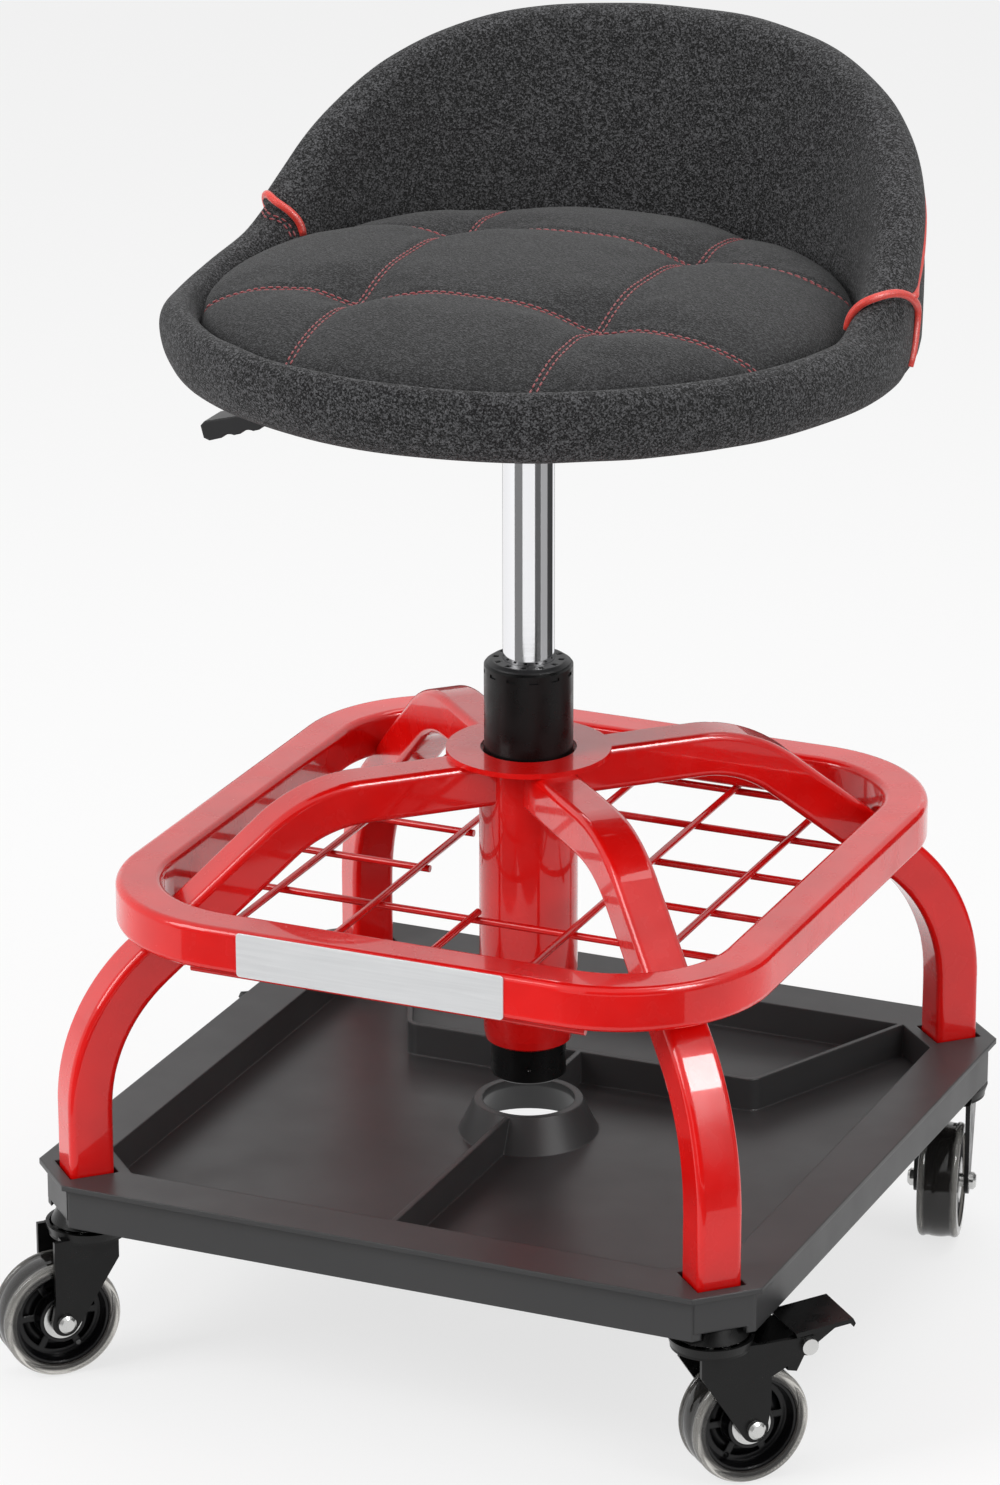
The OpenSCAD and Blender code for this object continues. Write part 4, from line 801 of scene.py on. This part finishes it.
class STOOL_OT_cover_rim(Operator):
    """Cover the front bolster, the backrest pad and the panel behind it"""

    bl_idname = "stool.cover_rim"
    bl_label = "Cover Rim and Backrest"

    TUCK_TURN = math.radians(24)
    TUCK_HEIGHT = 16 * MM
    TUCK_IN = 4 * MM
    RIPPLE_SIZE = 38 * MM

    def tuck_corners(self, verts, sizes, upwards):
        """Pulls the lower outer edge of a piece into the roll beside each end seam"""
        for v in verts:
            turn = math.atan2(v.co.x, v.co.y)
            away = min(abs(turn - seam) for seam in (sizes.left_seam, sizes.right_seam))
            near = max(0.0, 1 - away / self.TUCK_TURN)
            depth = near * (2 - near) * clamped(1 - (v.co.z - ROLL_FOOT) / self.TUCK_HEIGHT)
            v.co -= outwards(turn) * (self.TUCK_IN * depth)
            v.co.z += upwards * depth

    def fit_stiffener(self, sizes):
        """Stands for the stiffener, its lower edge tucked in with the panel's"""
        bm = merged_solid("back_shell")
        wall = [v for v in bm.verts if v.co.xy.length > sizes.seam_radius + 2 * MM]
        self.tuck_corners(wall, sizes, upwards=9 * MM)
        plastic = NODES["back_shell"].material_slots[0].material
        piece = new_piece("backrest_stiffener", bm, plastic, "seat")
        piece.data.shade_flat()
        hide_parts("back_shell")

    def execute(self, context):
        sizes = context.scene.stool_upholstery
        grey = context.scene.stool_finish.rim_grey
        cloth = knitted_cloth("rim_cloth", grey, scale=960, depth=0.6, dark=0.2, light=4.4, sheen=0.10)
        for name, node in (
                ("front_bolster", "seat_bolster"), ("backrest_pad", "back_pad"), ("backrest_panel", "back_panel")):
            piece = quad_copy(name, node, sizes)
            finish_soft(piece, cloth, levels=2)
            if name == "backrest_panel":
                self.tuck_corners(piece.data.vertices, sizes, upwards=5 * MM)
            ripple(piece, sizes.ripple, self.RIPPLE_SIZE)
            seat_piece(piece, node)
        self.fit_stiffener(sizes)
        return {"FINISHED"}


class STOOL_OT_lay_piping(Operator):
    """Lay the round red piping along the backrest and its two end seams"""

    bl_idname = "stool.lay_piping"
    bl_label = "Lay Piping"

    EDGE_POINTS = 96
    BELOW_TOP = 16 * MM  # of the edge groove under the backrest's top
    JOINING = math.radians(12)  # turn over which the edge groove runs out into an end seam
    PROUD = 0.4 * MM  # of the covers, where the cord lies over an end seam

    def over_seam(self, tree, sizes, seam, turns):
        """Path of the cord over the rim at an end seam"""
        points, normals = over_rim(tree, sizes, seam, turns, ROLL_FOOT + 7 * MM)
        return smoothed([point + normal * self.PROUD for point, normal in zip(points, normals)], 4)

    def along_edge(self, tree, sizes, start, end):
        """Path of the cord along the edge groove, from one end seam's cord to the other's"""
        first, last = (math.atan2(joint.x, joint.y) for joint in (start, end))
        edge = []
        for i in range(1, self.EDGE_POINTS):
            angle = first + (last - first) * i / self.EDGE_POINTS
            ahead = outwards(angle)
            above = ahead * (sizes.seam_radius + 18 * MM) + Vector((0, 0, 1))
            level = tree.ray_cast(above, Vector((0, 0, -1)))[0].z - self.BELOW_TOP
            for joint, turn in ((start, angle - first), (end, last - angle)):
                level += (joint.z - level) * eased(max(0.0, 1 - turn / self.JOINING))
            hit = tree.ray_cast(ahead * 0.4 + Vector((0, 0, level - 3 * MM)), -ahead)[0]
            edge.append(Vector((hit.x, hit.y, level)) + ahead * 0.2 * MM)
        return [start] + smoothed(edge, 3) + [end]

    def execute(self, context):
        sizes = context.scene.stool_upholstery
        tree = surface_of("front_bolster", "backrest_pad", "backrest_panel")
        bm = bmesh.new()
        joints = []
        for seam, turns, _ in end_seams(sizes):
            path = self.over_seam(tree, sizes, seam, turns)
            tube(bm, path, sizes.cord / 2)
            crest = max(point.z for point in path)
            joints.append(min(path[len(path) // 3:], key=lambda point: abs(point.z - crest + 7 * MM)))
        tube(bm, self.along_edge(tree, sizes, *joints), sizes.cord / 2)
        cover = covered_cord("piping_cover", context.scene.stool_finish.piping_red)
        piece = new_piece("piping", bm, cover, "seat")
        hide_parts("seat_piping")
        return {"FINISHED"}


class STOOL_OT_sew_cushion(Operator):
    """Sew the twin rows of red stitches into the channels of the cushion"""

    bl_idname = "stool.sew_cushion"
    bl_label = "Sew Cushion"

    STEP = 0.5 * MM
    BESIDE_SEAM = 5.5 * MM

    def dense(self, points, normals):
        """Points every step along a path, with their normals"""
        close, up = [], []
        for a, b, m, n in zip(points, points[1:], normals, normals[1:]):
            parts = max(1, int((b - a).length / self.STEP))
            close += [a.lerp(b, k / parts) for k in range(parts)]
            up += [m.lerp(n, k / parts).normalized() for k in range(parts)]
        return close, up

    def execute(self, context):
        sizes = context.scene.stool_upholstery
        tree = surface_of("cushion")
        sewing = Sewing(sizes)
        reach = math.sqrt((sizes.seam_radius - 4 * MM) ** 2 - sizes.pitch ** 2)
        count = int(2 * reach / self.STEP)
        for along, side, row in product((0, 1), (-1, 1), (-1, 1)):
            offset = side * sizes.pitch + row * sizes.row_gap / 2
            points, normals = [], []
            for i in range(count + 1):
                t = -reach + i * self.STEP
                above = Vector((offset, t, 1.0) if along else (t, offset, 1.0))
                hit, normal, _, _ = tree.ray_cast(above, Vector((0, 0, -1)))
                if hit is not None:
                    points.append(hit)
                    normals.append(normal)
            sewing.row(points, normals)
        rim = surface_of("front_bolster")
        for beside in (self.BESIDE_SEAM, self.BESIDE_SEAM + sizes.row_gap):
            seam = sizes.left_seam - beside / (sizes.seam_radius + 20 * MM)
            points, normals = over_rim(rim, sizes, seam, sizes.left_lean, sizes.seam_height + 16 * MM)
            sewing.row(*self.dense(smoothed(points, 6), normals))
        thread = sewing_thread("red_thread", context.scene.stool_finish.thread_red)
        new_piece("cushion_stitches", sewing.bm, thread, "seat")
        return {"FINISHED"}


class STOOL_OT_fix_plate(Operator):
    """Fix the bare plate with rounded corners to the front of the basket ring"""

    bl_idname = "stool.fix_plate"
    bl_label = "Fix Plate"

    MARGIN = 0.3 * MM  # between the plate's long edges and those of the ring
    CLEARANCE = 0.02 * MM
    EDGE = 0.25 * MM  # bevel round the front face

    def execute(self, context):
        plate = context.scene.stool_plate
        low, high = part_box("basket_ring")
        front, back = low.y - self.CLEARANCE - plate.thickness, low.y - self.CLEARANCE
        corners = Vector((plate.left, front, low.z + self.MARGIN)), Vector((plate.right, back, high.z - self.MARGIN))
        size, middle = corners[1] - corners[0], (corners[0] + corners[1]) / 2
        bm = bmesh.new()
        bmesh.ops.create_cube(bm, size=1, matrix=Matrix.Translation(middle) @ Matrix.Diagonal((*size, 1)))
        across = [e for e in bm.edges if abs(e.verts[0].co.y - e.verts[1].co.y) > plate.thickness / 2]
        bmesh.ops.bevel(bm, geom=across, offset=plate.corner, affect="EDGES", segments=6, profile=0.5, material=-1)
        face = min(bm.faces, key=lambda f: f.calc_center_median().y)
        bmesh.ops.bevel(
            bm, geom=list(face.edges), offset=self.EDGE, affect="EDGES", segments=2, profile=0.5, material=-1)
        piece = new_piece("front_plate", bm, brushed_plate("plate_satin"), "base")
        piece.data.shade_flat()
        return {"FINISHED"}


class STOOL_OT_build_studio(Operator):
    """Set the pale floor, the soft lights, the room and the camera"""

    bl_idname = "stool.build_studio"
    bl_label = "Build Studio"

    # Name, direction in degrees, distance, width and height, brightness, and height of the foot if not on the floor
    CARDS = (
        ("front_card", 32, 4.4, (5.6, 3.4), 0.04),
        ("chrome_card_front", 65, 0.95, (0.47, 0.9), 0.12),
        ("chrome_card_side", 97, 0.95, (0.60, 0.9), 0.40),
        ("chrome_card_back", 136, 0.95, (0.75, 0.5), 0.05),
        ("front_flag_left", -22, 0.62, (0.42, 0.36), 0.22),
        ("front_flag_low", 25, 0.64, (0.95, 0.14), 0.06),
        ("bright_card", 72, 1.5, (0.7, 1.5), 22, 0.95),
        ("low_card", 203, 0.9, (0.63, 0.35), 0.05),
    )
    # Name, setting with its power, place, width and height
    LAMPS = (
        ("key_light", "key", (-1.6, -1.8, 1.9), 1.2, 1.6),
        ("fill_light", "fill", (2.3, -0.9, 1.2), 1.0, 1.4),
        ("top_light", "top", (0.2, 0.6, 2.4), 1.6, 1.2),
    )
    LIT_POINT = Vector((0, 0, 0.35))

    def seen_white(self, tree, base, white):
        """Mixes plain white into a shader for what the camera, reflections and glass see"""
        rays = add_node(tree, "ShaderNodeLightPath").outputs
        seen = add_node(
            tree, "ShaderNodeMath", {0: rays["Is Camera Ray"], 1: rays["Is Glossy Ray"]}, operation="MAXIMUM")
        clear = add_node(
            tree, "ShaderNodeMath", {0: seen.outputs[0], 1: rays["Is Transmission Ray"]}, operation="MAXIMUM")
        return add_node(tree, "ShaderNodeMixShader", {0: clear.outputs[0], 1: base, 2: white}).outputs[0]

    def board(self, name, half_size, material):
        """Flat square of the stage"""
        bm = bmesh.new()
        bmesh.ops.create_grid(bm, x_segments=1, y_segments=1, size=half_size)
        board = shaped(name, bm)
        board.data.materials.append(material)
        return board

    def floor(self):
        finish = Finish("studio_floor", (0.88, 0.88, 0.88), 0.9)
        tree, base = finish.tree, finish.shader.outputs[0]
        glow = finish.node("ShaderNodeEmission", {"Color": WHITE}).outputs[0]
        white = finish.node("ShaderNodeMixShader", {0: 0.72, 1: base, 2: glow}).outputs[0]
        tree.links.new(self.seen_white(tree, base, white), tree.nodes["Material Output"].inputs["Surface"])
        self.board("studio_floor", 30, finish.material)

    def card(self, name, direction, distance, size, brightness, foot=0.0):
        """Upright card beside the camera's view, dark or bright, which only reflections see"""
        material = bpy.data.materials.new(name)
        material.use_nodes = True
        tree = material.node_tree
        glow = add_node(tree, "ShaderNodeEmission", {"Color": WHITE, "Strength": brightness})
        tree.links.new(glow.outputs[0], tree.nodes["Material Output"].inputs["Surface"])
        card = self.board(name, 0.5, material)
        turn = math.radians(direction)
        card.location = (distance * math.sin(turn), -distance * math.cos(turn), foot + size[1] / 2)
        card.rotation_euler = (math.pi / 2, 0, turn)
        card.scale = (*size, 1)
        card.visible_camera = card.visible_diffuse = card.visible_shadow = card.visible_transmission = False

    def room(self, brightness):
        """Even light from all round, which itself looks white"""
        world = bpy.context.scene.world or bpy.data.worlds.new("room")
        bpy.context.scene.world = world
        world.use_nodes = True
        tree = world.node_tree
        tree.nodes.clear()
        lit, white = (
            add_node(tree, "ShaderNodeBackground", {"Color": WHITE, "Strength": strength}).outputs[0]
            for strength in (brightness, 1))
        add_node(tree, "ShaderNodeOutputWorld", {"Surface": self.seen_white(tree, lit, white)})

    def lamp(self, name, power, place, width, height):
        """Soft rectangular light aimed at the middle of the stool"""
        data = bpy.data.lights.new(name, "AREA")
        data.shape = "RECTANGLE"
        data.size, data.size_y = width, height
        data.energy = power
        lamp = placed(name, data)
        lamp.location = place
        lamp.rotation_euler = (self.LIT_POINT - lamp.location).to_track_quat("-Z", "Y").to_euler()

    def camera(self, studio):
        """Camera at the photograph's place and angle"""
        turn, rise = studio.azimuth, studio.elevation
        back = Vector((math.sin(turn) * math.cos(rise), -math.cos(turn) * math.cos(rise), math.sin(rise)))
        right = Vector((math.cos(turn), math.sin(turn), 0))
        matrix = Matrix((right, back.cross(right), back)).transposed().to_4x4()
        matrix.translation = studio.camera
        data = bpy.data.cameras.new("camera")
        data.sensor_width = 36
        data.lens = studio.lens
        data.shift_x, data.shift_y = studio.shift
        data.clip_start, data.clip_end = 0.1, 60
        camera = placed("camera", data)
        camera.matrix_world = matrix
        bpy.context.scene.camera = camera

    def execute(self, context):
        studio = context.scene.stool_studio
        self.floor()
        self.room(studio.sky)
        for name, power, *rest in self.LAMPS:
            self.lamp(name, getattr(studio, power), *rest)
        for card in self.CARDS:
            self.card(*card)
        self.camera(studio)
        context.scene.view_settings.view_transform = "Standard"
        return {"FINISHED"}


class STOOL_PT_panel(Panel):
    """Stool tools in the sidebar"""

    bl_label = "Rolling Stool"
    bl_space_type = "VIEW_3D"
    bl_region_type = "UI"
    bl_category = "Stool"

    def draw(self, context):
        for step in STEPS:
            self.layout.operator(step.bl_idname)
        for group in SETTINGS:
            settings = getattr(context.scene, group)
            box = self.layout.box()
            for name in settings.__annotations__:
                box.prop(settings, name)


SETTINGS = {
    "stool_finish": FinishSettings,
    "stool_upholstery": UpholsterySettings,
    "stool_plate": PlateSettings,
    "stool_studio": StudioSettings,
}
STEPS = (
    STOOL_OT_coat_frame,
    STOOL_OT_finish_metal,
    STOOL_OT_finish_mouldings,
    STOOL_OT_close_wheels,
    STOOL_OT_fill_cushion,
    STOOL_OT_cover_rim,
    STOOL_OT_lay_piping,
    STOOL_OT_sew_cushion,
    STOOL_OT_fix_plate,
    STOOL_OT_build_studio,
)


def register():
    for made in (*SETTINGS.values(), *STEPS, STOOL_PT_panel):
        bpy.utils.register_class(made)
    for name, group in SETTINGS.items():
        setattr(bpy.types.Scene, name, PointerProperty(type=group))


def unregister():
    for name in SETTINGS:
        delattr(bpy.types.Scene, name)
    for made in reversed((*SETTINGS.values(), *STEPS, STOOL_PT_panel)):
        bpy.utils.unregister_class(made)


def main():
    register()
    for step in STEPS:
        group, name = step.bl_idname.split(".")
        getattr(getattr(bpy.ops, group), name)()


if __name__ == "__main__":
    main()
